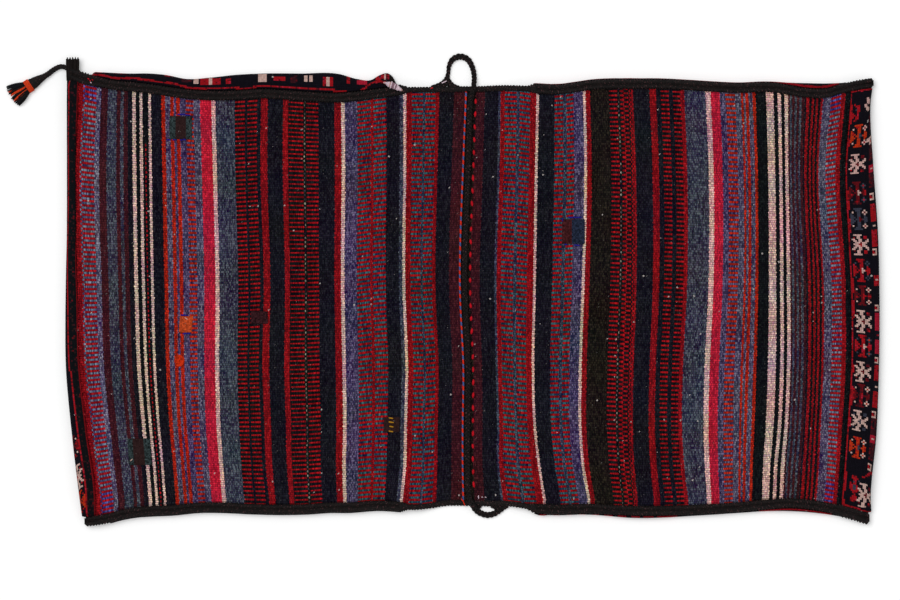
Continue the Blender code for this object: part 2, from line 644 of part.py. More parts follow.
def tassel(root):
    """Braided cord from the upper left corner, with a bound tassel at its end."""
    path = soft_path(TASSEL_CORD_ROUTE, 3.5)
    sizes = [(TASSEL_CORD_DIAMETER, TASSEL_CORD_DIAMETER)] * len(path)
    spine = bpy.data.curves.new("tassel_cord", "CURVE")
    spine.dimensions = "3D"
    spine.bevel_depth = TASSEL_CORD_DIAMETER / 2 * MM
    spine.bevel_resolution = 2
    spine.use_fill_caps = True
    line = spine.splines.new("POLY")
    line.points.add(len(path) - 1)
    for point, place in zip(line.points, path):
        point.co = (place[0] * MM, place[1] * MM, place[2] * MM, 1.0)
    spine.materials.append(yarn_material("goat"))
    cord = bpy.data.objects.new("tassel_cord", spine)
    cord.parent = root
    bpy.context.scene.collection.objects.link(cord)

    aim = np.array((math.cos(TASSEL_AIM), math.sin(TASSEL_AIM), 0.0))
    start = np.array((path[-1][0], path[-1][1], 0.0)) + aim * CLEARANCE
    middle = TASSEL_HEIGHT / 2 + 0.1

    def along(distance):
        return tuple(start + aim * distance + np.array((0, 0, middle)))

    head_places = [share * TASSEL_HEAD_LENGTH for share in (0.0, 0.35, 0.7, 1.0)]
    head_widths = (TASSEL_CORD_DIAMETER + 1.5, 0.7 * TASSEL_HEAD_WIDTH, 0.9 * TASSEL_HEAD_WIDTH,
                   TASSEL_HEAD_WIDTH)
    head_heights = [share * TASSEL_HEIGHT for share in (0.75, 0.85, 0.9, 0.9)]
    sweep("tassel_head", [along(d) for d in head_places], list(zip(head_widths, head_heights)),
          round_section(12), "goat", root)
    wrap_start = TASSEL_HEAD_LENGTH + CLEARANCE
    wrap_places = (wrap_start, wrap_start + TASSEL_WRAP_LENGTH / 2, wrap_start + TASSEL_WRAP_LENGTH)
    wrap_widths = (TASSEL_WRAP_WIDTH - 1.0, TASSEL_WRAP_WIDTH, TASSEL_WRAP_WIDTH - 0.6)
    sweep("tassel_wrap", [along(d) for d in wrap_places], [(w, TASSEL_HEIGHT) for w in wrap_widths],
          round_section(12), "flame", root)
    skirt_root = along(wrap_places[-1] + CLEARANCE)
    fan("tassel_skirt", skirt_root, TASSEL_AIM, TASSEL_SKIRT_LENGTH,
        (TASSEL_WRAP_WIDTH - 2.0, TASSEL_SKIRT_WIDTH), (0.85 * TASSEL_HEIGHT, 0.6 * TASSEL_HEIGHT),
        9, 0.1, ["black"], root)


def corner_tuft(root):
    """Cut ends of the seam's goat hair, standing out at the upper left corner."""
    corner = (-587.5, UPPER_SEAM[0][1] + SEAM_WIDTH / 2 + SEAM_CLEARANCE)
    fan("corner_tuft", corner, math.radians(92), 16.5, (12.0, 19.0), (TUFT_HEIGHT, TUFT_HEIGHT), 5,
        5.0, ["goat"], root)


def main():
    for old in list(bpy.data.objects):
        bpy.data.objects.remove(old, do_unlink=True)
    root = bpy.data.objects.new("saddle_bag", None)
    bpy.context.scene.collection.objects.link(root)
    bag_cloth(root)
    pouch_seam("left_pouch_upper_seam", LEFT_MOUTH, UPPER_SEAM[0][0], 1, -1, root)
    pouch_seam("left_pouch_lower_seam", LEFT_MOUTH, LOWER_SEAM[0][0], -1, -1, root)
    pouch_seam("right_pouch_upper_seam", RIGHT_MOUTH, UPPER_SEAM[-1][0], 1, 1, root)
    pouch_seam("right_pouch_lower_seam", RIGHT_MOUTH, LOWER_SEAM[-1][0], -1, 1, root)
    bridge_selvedge("bridge_upper_selvedge", 1, root)
    bridge_selvedge("bridge_lower_selvedge", -1, root)
    centre_braid(root)
    centre_twine(root)
    darns(root)
    mouth_whipping(root)
    corner_tuft(root)
    tassel(root)


main()
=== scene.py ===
"""Double saddle bag laid flat: the look of its cloth, seams, braid, darns and tassel.

The strip is woven along +X, +Y runs across it, and +Z is up. Shapes are worked out in
millimetres and turned to metres when a mesh is made. A side is 1 on the upper edge and -1 on
the lower one, and an end is 1 at the right foot and -1 at the left one.
"""

import itertools
import json
import math

import bpy
import numpy as np
from bpy.props import FloatProperty, FloatVectorProperty, IntProperty, PointerProperty
from bpy.types import Operator, Panel, PropertyGroup
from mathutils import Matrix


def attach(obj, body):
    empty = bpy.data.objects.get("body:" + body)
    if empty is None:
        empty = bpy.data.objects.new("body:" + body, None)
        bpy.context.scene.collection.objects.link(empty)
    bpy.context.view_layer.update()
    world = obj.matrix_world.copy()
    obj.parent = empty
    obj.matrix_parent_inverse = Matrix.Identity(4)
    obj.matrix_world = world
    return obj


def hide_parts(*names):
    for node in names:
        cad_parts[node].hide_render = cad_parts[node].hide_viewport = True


bl_info = {
    "name": "Double Saddle Bag",
    "version": (1, 0, 0),
    "blender": (4, 5, 0),
    "location": "3D View > Sidebar > Saddle Bag",
    "description": "Weaves, sews and lights a double saddle bag laid flat",
    "category": "Object",
}

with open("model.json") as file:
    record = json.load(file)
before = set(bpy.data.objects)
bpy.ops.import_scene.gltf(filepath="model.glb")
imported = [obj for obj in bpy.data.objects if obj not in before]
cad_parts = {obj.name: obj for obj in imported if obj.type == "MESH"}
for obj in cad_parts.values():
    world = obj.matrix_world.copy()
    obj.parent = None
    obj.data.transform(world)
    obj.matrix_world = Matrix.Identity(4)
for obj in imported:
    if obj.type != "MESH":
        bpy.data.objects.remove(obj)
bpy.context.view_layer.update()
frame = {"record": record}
MM = 0.001
RNG = np.random.default_rng(7)
UP = np.array((0.0, 0.0, 1.0))

# The picture: its size and the bag's origin in pixels, and what a pixel covers
PICTURE = (900, 600)
ORIGIN_PIXEL = (473.25, 290.25)
MM_A_PIXEL = 1.47

# Layers of cloth, the same as the frame's
KILIM_THICKNESS = 3.0
PILE_THICKNESS = 8.0
TOP = 20.0
PILE_STEP = 2.0
CLEARANCE = 0.3
SEAM_CLEARANCE = 0.6
SEAM_WIDTH = 15.0
SEAM_HEIGHT = 8.0
SEAT = 6.7
SEAM_FOOT = SEAT + CLEARANCE
EDGE_TOP = SEAM_FOOT + SEAM_HEIGHT - 1.0
SELVEDGE_WIDTH = 8.5
SELVEDGE_HEIGHT = 6.0
SELVEDGE_MEET = 12.0
SELVEDGE_LAP = 5.0
SEAM_TAIL = 3.0
SIDE_RISE = 25.0
LIP_HEIGHT = 5.0
LIP_LEAST = 1.2
LIP_FLARE = 4.0
KILIM_START = -582.0
KILIM_END = 555.3
LEFT_MOUTH = -106.0
RIGHT_MOUTH = 90.0
MOUTH_LEDGE = 13.0
TUCK = 2.8
TUCK_DIP = 4.0
BRIDGE_FALL = 50.0
FOLD_REACH_TOP = 14.0
FOLD_REACH_UNDER = 12.0
CORNER_SINK = 60.0
CORNER_TUCK = 42.0
CORNER_DROP = 22.0
FOOT_HALF_WIDTH = 320.0
BRAID_STATION = -12.2
TWINE_STATION = -19.4
STITCH_STATION = -4.4
# Where the frame's rows stand up the side of a pouch, and between its two sides
RISE_SHARES = (0.0, 0.16, 0.5, 1.0)
BETWEEN = tuple(k / 6 for k in range(1, 6))

# Slow waves in the handled cloth: height, length along, shift and lean, length across and slant
WAVES = ((0.6, 57, 0.0, 160, 74, -230), (0.35, 31, 1.3, 300, 47, 390))
PUCKER_HEIGHT = 0.55
PUCKER_LENGTH = 4.6
PUCKER_REACH = 11.0
WAVE_REACH = 30.0
BRIDGE_RIPPLE = 0.35

# Centre lines of the seams and bridge edges, from the left corner to the right one
UPPER_SEAM = (
    (-592, 319), (-576, 312), (-552, 306), (-524, 301), (-500, 299), (-468, 295), (-418, 288),
    (-381, 286), (-343, 287), (-311, 289), (-275, 287), (-233, 284), (-196, 283), (-166, 286),
    (-128, 291), (-105, 294), (-64, 295), (-27, 296), (7, 296), (39, 297.5), (69, 297), (95, 295.8),
    (125, 294.8), (150, 298), (175, 301.6), (200, 303), (233, 303), (275, 303), (316, 301),
    (347, 299), (388, 297), (439, 298), (466, 294), (492, 290), (521, 290), (542, 296), (563, 301),
    (586, 305))
LOWER_SEAM = (
    (-569, -340), (-552, -338), (-533, -334), (-518, -330), (-496, -326), (-468, -324),
    (-444, -323), (-402, -319), (-370, -319), (-327, -321), (-277, -322), (-239, -321),
    (-212, -319), (-184, -319), (-137, -316), (-105, -318), (-86, -319), (-64, -317), (-37, -313),
    (-11, -313), (25, -314), (53, -314), (70, -316), (89, -320), (114, -322), (169, -321),
    (216, -323), (238, -324), (291, -323.5), (336, -322), (397, -318), (429, -315), (470, -313),
    (508, -317), (546, -325), (580, -335))
# Where the pile faces reach outside their seams
UPPER_PILE = (
    (-592, 326), (-566, 322), (-549, 321), (-505, 319), (-475, 319), (-453, 317), (-421, 311),
    (-387, 313), (-350, 317), (-311, 319), (-255, 319), (-196, 318), (-171, 311), (-149, 310),
    (-139, 316), (-122, 317.4), (-117, 312), (-113.5, 304), (-105, 301.5), (92, 303), (150, 305),
    (200, 311), (275, 311), (347, 307), (388, 305), (439, 307), (466, 305.4), (492, 304.8),
    (521, 304.4), (542, 305), (586, 306))
LOWER_PILE = (
    (-569, -348), (-540, -342.5), (-512, -336), (-490, -331), (-468, -330), (-402, -327),
    (-277, -330), (-137, -324), (-105, -326), (89, -328), (96, -330.8), (106, -331.2),
    (115, -329.8), (135, -329.8), (169, -330), (238, -335), (336, -331), (397, -327), (429, -325),
    (470, -325), (508, -328), (546, -334), (576, -343))
# Foot of each pouch, as x at each y
LEFT_FOOT = (
    (-348, -569), (-338, -574), (-316, -578), (-279, -584), (-235, -588), (-191, -593),
    (-160, -596), (-132, -598), (-103, -600), (-58, -600.4), (-14, -600), (4, -598.4), (100, -598),
    (315, -598))
RIGHT_FOOT = (
    (-343, 577), (-335, 583), (-308, 585), (-279, 586), (-235, 591), (-191, 595), (-117, 597),
    (-44, 598), (30, 597), (118, 594), (191, 588), (243, 583), (280, 585), (305, 589))

# How far handling has dragged the stripes along the bag, at each height across it
DRIFT_HEIGHTS = (-308, -257, -205, -117, 0, 191, 287)
STRIPE_DRIFT = {
    -578: (27, 20, 14, 4, 0.5, -3.5, 1.5),
    -490: (20, 16, 11, 4, 0, -3, -4),
    -388: (10, 6, 2, 0, 0, -4, -7),
    -308: (8, 3, 1, -2, 0, -5, -4),
    -191: (3, 2, 3, 2, 0, 1, 0),
    -103: (-4, 1, 2, 4, 0, 1, 1),
    -18: (5, 4, 4, 5, 0, 5, 9),
    38: (10, 4, 4, 2, 0, 5, 6),
    89: (15, 7, 1, -2, 0, 3, 5),
    161: (9, 0, -4, -4, 0, 4, 2),
    241: (2, -3, -5, -4, 0, -1, -5),
    313: (2, -4, -7, -6, 0, 0, -4),
    388: (-7, -7, -7, -5, 0, 0, -4),
    454: (-11, -9, -4, 0, 0, -2, -4),
    527: (-11, -7, -5, -1, 0, -9, 0),
    558: (-14, -10, -6, 0, 0, -8, 0),
}

# Stripes of the kilim from left to right: width in millimetres, then the yarns that
# its warp ribs take in turn
STRIPES = (
    (7.1, "red"), (2.7, "mist", "bar"), (18.3, "bar", "mist"), (7.4, "haze"), (10.5, "maroon"),
    (14.3, "slate"), (5.6, "maroon"), (4.9, "slate"), (6.3, "maroon"), (7.2, "navy"),
    (5.2, "cream"), (5.8, "black"), (4.3, "cream"), (3.3, "black"), (1.5, "scarlet", "black"),
    (4.3, "black"), (3.8, "cream"), (15.7, "navy"), (5.6, "orange"), (7.7, "lilac"),
    (5.3, "orange"), (3.8, "violet"), (5.3, "orange"), (8.7, "violet"), (11.5, "orange", "violet"),
    (10.5, "lilac"), (16.5, "crimson"), (5.8, "rose"), (27.8, "slate"), (14.3, "bar", "black"),
    (3.4, "navy"), (14.1, "bar", "black"), (5.6, "navy"), (9.5, "red"), (21.7, "navy"),
    (7.5, "red"), (1.0, "black"), (20.0, "bar", "black"), (1.4, "goat"), (1.6, "goat", "ash"),
    (1.4, "goat"), (16.8, "bar", "black"), (23.1, "navy"), (9.6, "red"), (5.1, "cream"),
    (18.0, "violet"), (20.2, "ladder", "rung"), (3.8, "red"), (18.5, "ladder", "rung"),
    (19.6, "navy"), (5.3, "slate"), (4.0, "cream"), (7.9, "red"), (14.5, "ladder", "rung"),
    (3.1, "teal"), (14.3, "ladder", "rung"), (4.4, "red"), (20.1, "navy"), (16.0, "maroon"),
    (15.5, "goat"), (13.5, "maroon"), (21.4, "navy"), (3.4, "teal"), (6.3, "red"),
    (17.6, "ladder", "rung"), (4.6, "teal"), (16.3, "ladder", "rung"), (8.9, "red"), (3.8, "rose"),
    (23.8, "navy"), (13.0, "ladder", "rung"), (4.8, "teal"), (10.9, "ladder", "rung"),
    (14.9, "violet"), (4.1, "cream"), (7.3, "red"), (30.4, "goat"), (12.9, "bar", "black"),
    (1.5, "goat"), (1.6, "goat", "ash"), (1.2, "goat"), (6.4, "bar", "black"),
    (7.2, "black", "bar"), (0.8, "goat"), (2.0, "bar", "black"), (1.8, "black", "bar"),
    (3.2, "red"), (24.1, "navy"), (9.4, "red"), (6.7, "navy"), (11.5, "bar", "black"),
    (6.1, "navy"), (11.6, "bar", "black"), (5.1, "red"), (31.5, "slate"), (7.3, "rose"),
    (13.3, "crimson"), (8.1, "violet"), (14.3, "orange", "violet"), (8.8, "lilac"), (3.1, "orange"),
    (3.5, "lilac"), (4.2, "orange"), (6.3, "lilac"), (4.2, "orange"), (15.8, "black"),
    (10.8, "beige"), (6.0, "black"), (4.9, "rose"), (5.0, "black"), (5.0, "rose"), (2.5, "maroon"),
    (3.2, "slate"), (3.6, "maroon"), (3.1, "slate"), (3.5, "maroon"), (3.5, "slate"),
    (4.0, "maroon"), (2.8, "navy"), (4.1, "red"), (3.5, "black"), (2.8, "red"), (3.1, "black"),
    (3.0, "red"), (3.7, "black"), (3.0, "red"), (11.2, "lilac"), (14.8, "bar", "mist"),
    (5.8, "red"), (7.9, "black"))
STRIPE_PART = 12.0
RIBS = 188
RIB = 3.14
LINING_ROWS = 25
# How far ribs push the edge of a stripe to and fro, and the ribs of a bar into each other
JOG = 1.1
PALE_JOG = 0.95
BAR_SQUEEZE = 0.58
# How much closer ribs lie at the lower edge near the feet and at the upper one near the bridge
CROWDING = 0.035
# How far along the bag a rib keeps one depth of colour
RUNG = 8.0
# Shares of the width beyond which faded ribs are still indigo, and a scarlet line stops
INDIGO_ENDS = (0.05, 0.955)
BLACK_END = 0.88
YARN_NAME = "<U14"
GREY_LINT = "76726f"
PALE_LINT = "b4aca8"
# How unevenly each yarn took its dye
UNEVEN = {
    "slate": 1.0, "teal": 1.0, "violet": 1.0, "lilac": 1.0, "haze": 1.0, "goat": 0.9, "navy": 0.8,
    "black": 0.7, "indigo": 1.0, "mist": 1.0, "rung": 1.0, "cream": 0.3, "rose": 0.35, "beige": 0.4,
    "crimson": 0.4, "ash": 2.0, "green": 1.0, "brown": 0.35, "patch_maroon": 0.7, "patch_dark": 0.7,
    "patch_navy": 0.7, "patch_orange": 0.5}

# Knot charts of the border's figures: body, rings, dots and heart
CROSS = (
    ".#####....", "...##..oo.", ".o.##..oo.", "##..##...#", ".##.##..##", "..###o###.",
    ".###oo##..", "..###o###.", ".##.##..##", "##..##...#", ".o.##..oo.", "...##..oo.",
    ".#####....")
FLOWER = (
    "..#####...", "...###..r.", ".r..##.ror", "#...##..r.", "##..##..#.", "###.#h..##",
    "##.##hh###", "###.#h..##", "##..##..#.", "#...##..r.", ".r..##.ror", "...###..r.",
    "..#####...")
BUD = (
    ".###..", ".####.", "..###.", "...#..", "..##..", ".####.", "##hh##", "##hh##", "##hh#.",
    "#.##..", "..r#..", "..##.r", ".####.", ".###..")
TWIG = (
    ".##...", "..##..", "#.##..", "##.#..", "#..#..", "...##.", "..r##.", "...##.", "..###.",
    ".#....")
HOOK = (("###", "oo#", "o.#", "###"), "cream", "cream", "scarlet")
# Figures of the right foot's border: height across the bag, chart, then its yarns
FOOT_FIGURES = (
    (225.3, FLOWER, "flame", "rose", "scarlet", "slate"),
    (183.2, CROSS, "rose", "rose", "deep_red", "slate"),
    (142.4, FLOWER, "deep_red", "slate", "scarlet", "rose"),
    (104.0, FLOWER, "slate", "cream", "scarlet", "deep_red"),
    (67.4, CROSS, "rose", "rose", "scarlet", "slate"),
    (28.9, FLOWER, "scarlet", "slate", "navy", "rose"),
    (-10.2, FLOWER, "deep_red", "cream", "scarlet", "scarlet"),
    (-47.7, CROSS, "cream", "cream", "deep_red", "slate"),
    (-83.4, FLOWER, "scarlet", "slate", "flame", "rose"),
    (-119.9, CROSS, "cream", "cream", "deep_red", "slate"),
    (-156.3, FLOWER, "deep_red", "cream", "flame", "scarlet"),
    (-193.7, CROSS, "cream", "cream", "slate", "slate"),
    (-232.2, FLOWER, "flame", "cream", "flame", "slate"))
# Smaller ones at its ends: first and middle column, then the same
CORNER_FIGURES = (
    (2, 5, 261, TWIG, "scarlet", "slate", "flame", "navy"),
    (4, 6, -290, BUD, "scarlet", "slate", "flame", "slate"),
    (9, 10, -300, CROSS, "cream", "cream", "deep_red", "slate"))
FOOT_HOOKS = (219.4, 137.7, 55.2, -25.7, -102.1, -181.6, -258.3)
FOOT_DOTS = (
    (177.6, "crimson", "cream"), (93.1, "navy", "cream"), (13.2, "scarlet", "rose"),
    (-67.3, "navy", "scarlet"), (-142.7, "navy", "cream"), (-218.7, "crimson", "cream"))
# Guard blocks of the same border, from one height to another, and their columns of knots
FOOT_BLOCKS = (
    (234, 257, "maroon"), (190, 212, "maroon"), (150, 172.5, "maroon"), (100.5, 127, "scarlet"),
    (63.5, 88.5, "scarlet"), (7.5, 18, "scarlet"), (-61.5, -33.5, "crimson"),
    (-94, -71.5, "crimson"), (-132, -110, "scarlet"), (-171.5, -147, "scarlet"),
    (-213, -188, "maroon"), (-223, -214, "crimson"), (-249.5, -224.5, "maroon"))
GUARD = slice(14, 18)
# How far inside the cloth's edges the red lines of that border run
RED_LINES = ((1, 3.4), (-1, 3.6))
# Small marks in the upper and lower corners of the right foot: x and y ranges, and yarn
CORNER_MARKS = (
    (576, 269, 579.5, 275, "rose"), (579, 274, 583, 283, "rose"),
    (577.5, 264.5, 582, 269.5, "cream"), (579, 218, 583, 224, "rose"),
    (570, -277, 577, -274, "scarlet"), (575, -274, 582, -270.5, "scarlet"),
    (581, -271, 588, -267.5, "scarlet"))
# Figures that show over the fold of the left foot
LEFT_FIGURES = (
    (-228, FLOWER, "deep_red", "cream", "scarlet", "slate"),
    (-273, CROSS, "cream", "cream", "scarlet", "slate"),
    (-310, FLOWER, "flame", "scarlet", "flame", "deep_red"))
# Where the pile face shows along the upper left seam: figures as boxes, and the red line
WRAP_BOXES = (
    (-562, 320.4, -545, 326, "scarlet"), (-530, 318.4, -510, 323, "deep_red"),
    (-454, 314.6, -440, 320, "scarlet"), (-430, 306, -414, 312, "maroon"),
    (-412, 304, -403, 313, "cream"), (-402, 302, -371, 312, "scarlet"),
    (-388, 303, -384, 312, "cream"), (-365, 303, -357, 312, "scarlet"),
    (-316, 307, -304, 318, "cream"), (-293, 308, -277, 315, "scarlet"),
    (-268, 306, -258, 315, "maroon"), (-249, 306, -235, 317, "cream"),
    (-244, 306, -240, 317, "navy"), (-220, 301, -205, 313, "scarlet"),
    (-215, 301, -211, 313, "cream"), (-187, 303, -181, 316, "scarlet"),
    (-170, 302, -156, 309.5, "crimson"), (-143, 308, -136, 315.5, "scarlet"),
    (-139, 313, -135.5, 319, "patch_navy"), (-135.5, 311, -131.5, 320, "scarlet"),
    (-131.5, 309, -128, 318, "rose"), (-128, 309, -122.4, 319, "deep_red"),
    (-126, 311, -123.5, 317, "scarlet"), (-122.4, 300, -112, 320, "goat"))
WRAP_LINE = (
    (-590, 312), (-552, 317), (-524, 312), (-502, 312), (-466, 307), (-438, 303), (-418, 298),
    (-397, 297), (-359, 298), (-331, 297), (-311, 301), (-275, 298), (-241, 296), (-205, 294),
    (-191, 292), (-165, 294), (-157, 299), (-149, 305), (-143, 306.3), (-129, 305.5))
# Yarns in which a few knots of a figure are tied instead of its own
STRAY_YARNS = (
    ("cream", "rose", "beige"), ("rose", "cream", "beige"), ("flame", "scarlet", "patch_red"),
    ("scarlet", "deep_red", "crimson"), ("deep_red", "maroon", "scarlet"),
    ("maroon", "deep_red", "ground"))
# Pile: the size of a knot, then in knots the space from figure to figure, a face's sides and
# middle, and what shows of it at each foot
KNOT = 2.5
FIGURE_SPACE = 15
SIDE_KNOTS = 15
CROSS_KNOTS = 232
ACROSS_KNOTS = 2 * SIDE_KNOTS + CROSS_KNOTS
SHOWN_KNOTS = {-1: 12, 1: 20}
# Columns of the pile: on the band's hidden part, round the fold and just under it, and the
# height across the bag at which the band's width is taken
HIDDEN_COLUMNS = 12
FOLD_STEPS = 17
UNDER_COLUMNS = 25
BAND_AT = -200.0
# The knot at which each of the frame's rows lies
ROW_PLACES = np.array([0, 7, 11, SIDE_KNOTS] + [SIDE_KNOTS + CROSS_KNOTS * s for s in BETWEEN] +
                      [ACROSS_KNOTS - k for k in (SIDE_KNOTS, 11, 7, 0)])

# Darns: where each yarn starts along the bag, right end, lower and upper edge, and lean
DARNS = {
    "upper_left_darn": (((-446.5, "green"), (-438, "brown"), (-422, "green")),
                        -413.5, 222, 256, 0),
    "orange_darn": (((-431, "patch_orange"),), -412, -62, -38, -2),
    "round_orange_darn": (((-439.5, "patch_red"),), -424.5, -112.5, -94.5, 0),
    "maroon_darn": (((-327, "patch_dark"),), -302, -49.5, -31, 0),
    "lower_left_darn": (((-508.5, "green"), (-501, "brown"), (-485, "green")),
                        -475.5, -257, -218, 3),
    "brown_darn": (((-131, "brown"),), -108, -208.5, -186.5, -1),
    "right_darn": (((130.5, "patch_maroon"), (145, "patch_navy")), 164, 68, 104.5, 0),
}
DARN_CHECK = 2.1
DARN_YARN = 2.2
DARN_EDGE = 2.0
DARN_LIFT = 0.55
DARN_RELIEF = 0.3
# Sewing threads round the darns and caught in the cloth: yarn, radius and lift over the cloth,
# then runs from one x and y to another, some with a height of their own
LOOSE_THREADS = (
    ("ultramarine", 0.95, 0.55, (-434.5, 258.4, -424, 258.8), (-424, 257.8, -416, 257.2),
     (-450, 221.5, -445, 220.8), (-441.5, 221, -437, 221.4), (-431, 221, -427.5, 220.6),
     (-426.5, 222, -422.5, 221), (-430, -36.5, -420, -37), (-427, -64, -415, -63.5),
     (139.5, 107.3, 147, 107), (147.5, 107, 159, 107.2), (131, 105.5, 131.5, 101.5),
     (134, 67.5, 138, 67), (148, 66.5, 157, 65.8)),
    ("vivid", 0.75, 0.55, (-567, 311.5, -565, 310.3, 14.9), (-564, 308.8, -562.6, 307.6, 15.1),
     (-560.6, 310.2, -559.4, 308.8, 14.8), (-62.5, 297, -59.5, 298, 8.2)),
    ("pale", 0.75, 0.55, (-46.2, 304.8, -39.2, 308, 6.4), (-563, 305.8, -561.5, 305, 15.0)),
    ("coral", 0.75, 0.55, (-17.8, -306.8, -14.2, -311.4, 6.2), (-14.4, -311.2, -12.2, -317, 6.0)),
    ("cream", 0.75, 0.55, (-424, -40, -420, -43), (-504, -251, -501, -248)),
    ("yellow", 1.0, 1.45, (-124, -187.5, -118, -188.5), (-124, -193.5, -117, -194.5),
     (-123, -200, -117.5, -201), (-124, -207, -118, -208)),
    ("pale", 0.75, 0.55, (7.6, -302.2, 7.9, -306.8), (12.4, -304.4, 14, -304.6),
     (17.4, -304.4, 19, -304.8)))
# Pale thread round the mouth's corner: place along it, height across and half a stitch
WHIPPING = ((-131, 305.2, 0.5), (-128.3, 304.6, 0.9), (-124.6, 303, 3.4), (-121, 302, 4.3),
            (-116.5, 300.3, 4.2), (-113.6, 298.8, 3.6), (-107.7, 295.6, 1.8), (-104.8, 294, 0.8))
WHIPPING_TURNS = 16
RUBBED_TURNS = (7, 8, 10)
# Twined line: the length in which it repeats, and its two threads' radii and height
TWINE_REPEAT = 12.2
TWINE_RADII = (1.45, 1.35)
THREAD_LIFT = 0.75
# Running stitches: how far they go to either side, half a stitch and its radii
STITCH_REACH = 286.0
STITCH_HALF = (3.4, 4.6)
STITCH_RADII = (0.8, 1.4, 1.9, 2.0, 1.9, 1.4, 0.8)

# Seams: sections of a double rope and a single one, as shares of half the width and height
SEAM_SECTION = (
    (0.8, -1.0), (1.0, -0.2), (0.86, 0.6), (0.5, 1.0), (0.14, 0.6), (0.0, 0.1), (-0.14, 0.6),
    (-0.5, 1.0), (-0.86, 0.6), (-1.0, -0.2), (-0.8, -1.0), (0.0, -1.0))
ROUND_SECTION = tuple((math.cos(a), math.sin(a)) for a in np.linspace(0, 2 * math.pi, 16, False))
SECTION_POINTS = 26
SEAM_STEP = 0.9
# How far the wraps of a seam lean, their middle height, how uneven they are and the widest
WRAP_LEAN = 0.55
WRAP_MIDDLE = 0.65
WRAP_UNEVEN = 0.15
WIDEST = 1.12
END_TAPER = 3.0
CORNER_SWELL = 0.3

# Braid: its full size and its strands
BRAID_WIDTH = 8.6
BRAID_HEIGHT = 5.6
BRAID_STRANDS = 3
BRAID_SIDES = 8
BRAID_STEP = 1.3
# A strand's radius, and how far it sways and rises, as shares of the braid's width and height
STRAND_WIDTH = 0.25
STRAND_HEIGHT = 0.31
SWAY = 0.27
RISE = 0.2
# Its runs: x, y, height of its middle and share of its full width
LOW = BRAID_HEIGHT / 2 + 0.1
BRAID_ON_CLOTH = KILIM_THICKNESS + CLEARANCE + BRAID_HEIGHT / 2
OVER = SELVEDGE_HEIGHT + CLEARANCE + BRAID_HEIGHT / 2
UPPER_LOOP = (
    (-62, 299.6, LOW, 0.45), (-53, 301.6, LOW, 0.7), (-45, 305.2, LOW, 0.9), (-39.2, 311, LOW, 1.0),
    (-36.8, 320, LOW, 0.75), (-35.6, 330, LOW, 0.85), (-30, 340, LOW, 1.15), (-20, 344, LOW, 1.3),
    (-9, 340.6, LOW, 1.22), (-2, 330, LOW, 1.08), (1.3, 316, LOW + 1.0, 1.0),
    (0.8, 302, OVER - 0.3, 1.0), (0, 296, OVER + 0.6, 1.05), (-2, 289, OVER - 0.3, 1.05))
LOWER_LOOP = (
    (-5.5, -306, OVER - 0.3, 1.0), (-2.5, -313, OVER + 0.6, 1.1), (1.6, -320, OVER - 0.3, 1.25),
    (9, -327, LOW + 0.6, 1.25), (21, -330.8, LOW + 0.2, 1.22), (32, -328.2, LOW + 0.2, 1.2),
    (39.5, -323.2, LOW, 1.2), (45, -319.6, LOW, 1.0), (51, -318, LOW, 0.6))
# Short ends of the same braid at the feet of the loops, two at the upper and two at the lower
LOOP_TAILS = (
    ((-38.4, 317, LOW, 0.5), (-37, 311, LOW, 0.8), (-34, 305.5, LOW, 0.9), (-29, 301.4, LOW, 0.75),
     (-21, 299.6, LOW, 0.4)),
    ((-54, 299.6, LOW, 0.5), (-45, 301.6, LOW, 0.9), (-38, 304.4, LOW, 1.15),
     (-31.5, 301.4, LOW, 0.85), (-24, 299.2, LOW, 0.5)),
    ((-3, -317, LOW, 0.5), (3, -318.4, LOW, 0.9), (7, -319.2, LOW, 0.8), (12, -318.4, LOW, 0.4)),
    ((26, -318.4, LOW, 0.4), (31, -319.4, LOW, 0.7), (36, -320.6, LOW, 1.0), (42, -320.4, LOW, 0.9),
     (50, -318.6, LOW, 0.5)))

# Tassel: its cord's route, then the head, the wrapping and the strands in one line
TASSEL_CORD_ROUTE = (
    (-592.3, 325, 6.4), (-596.2, 326.4, 6.1), (-601, 328.4, 5.2), (-607, 329.2, 4.3),
    (-613.5, 327, 3.8), (-620, 322.8, 3.7), (-625.5, 318.44, 4.3), (-631, 315, 4.6))
TASSEL_CORD_DIAMETER = 7.0
CORD_STEP = 0.8
CHEVRON = 5.0
PLAIT = 4.0
TASSEL_START = (-631.0, 315.0, 5.1)
TASSEL_AIM = math.radians(212)
# Its head: width and height at places along it, and the ribs round it
HEAD_SIZES = ((0, 8.5, 7.5), (8, 11.9, 8.5), (16, 15.3, 9.0), (23, 17.0, 9.0))
HEAD_RIBS = 9
WRAP_START = 23.4
WRAP_TURNS = 6
WRAP_TURN = 1.32
# Its strands: length, half their spread at the root and at the tips, and the orange streaks
STRAND_LENGTH = 29.0
STRAND_SPREAD = (8.4, 17.4)
STREAKS = (0.42, -0.12, -0.5)
# Tuft at the corner: hairs, where they are rooted, and their half spread at root and tips
TUFT_HAIRS = 60
TUFT_ROOT = (-589.4, 308.2)
TUFT_SPREAD = (8.2, 9.5)


def linear(code):
    """Linear colour of an sRGB hex code."""
    srgb = [int(code[i:i + 2], 16) / 255 for i in (0, 2, 4)]
    return [c / 12.92 if c <= 0.04045 else ((c + 0.055) / 1.055) ** 2.4 for c in srgb] + [1.0]


def dye(name, code):
    """Colour property for one dyed yarn."""
    return FloatVectorProperty(name=name, description=f"Colour of the {name.lower()}", size=3,
                               subtype="COLOR", min=0, max=1, default=linear(code)[:3])


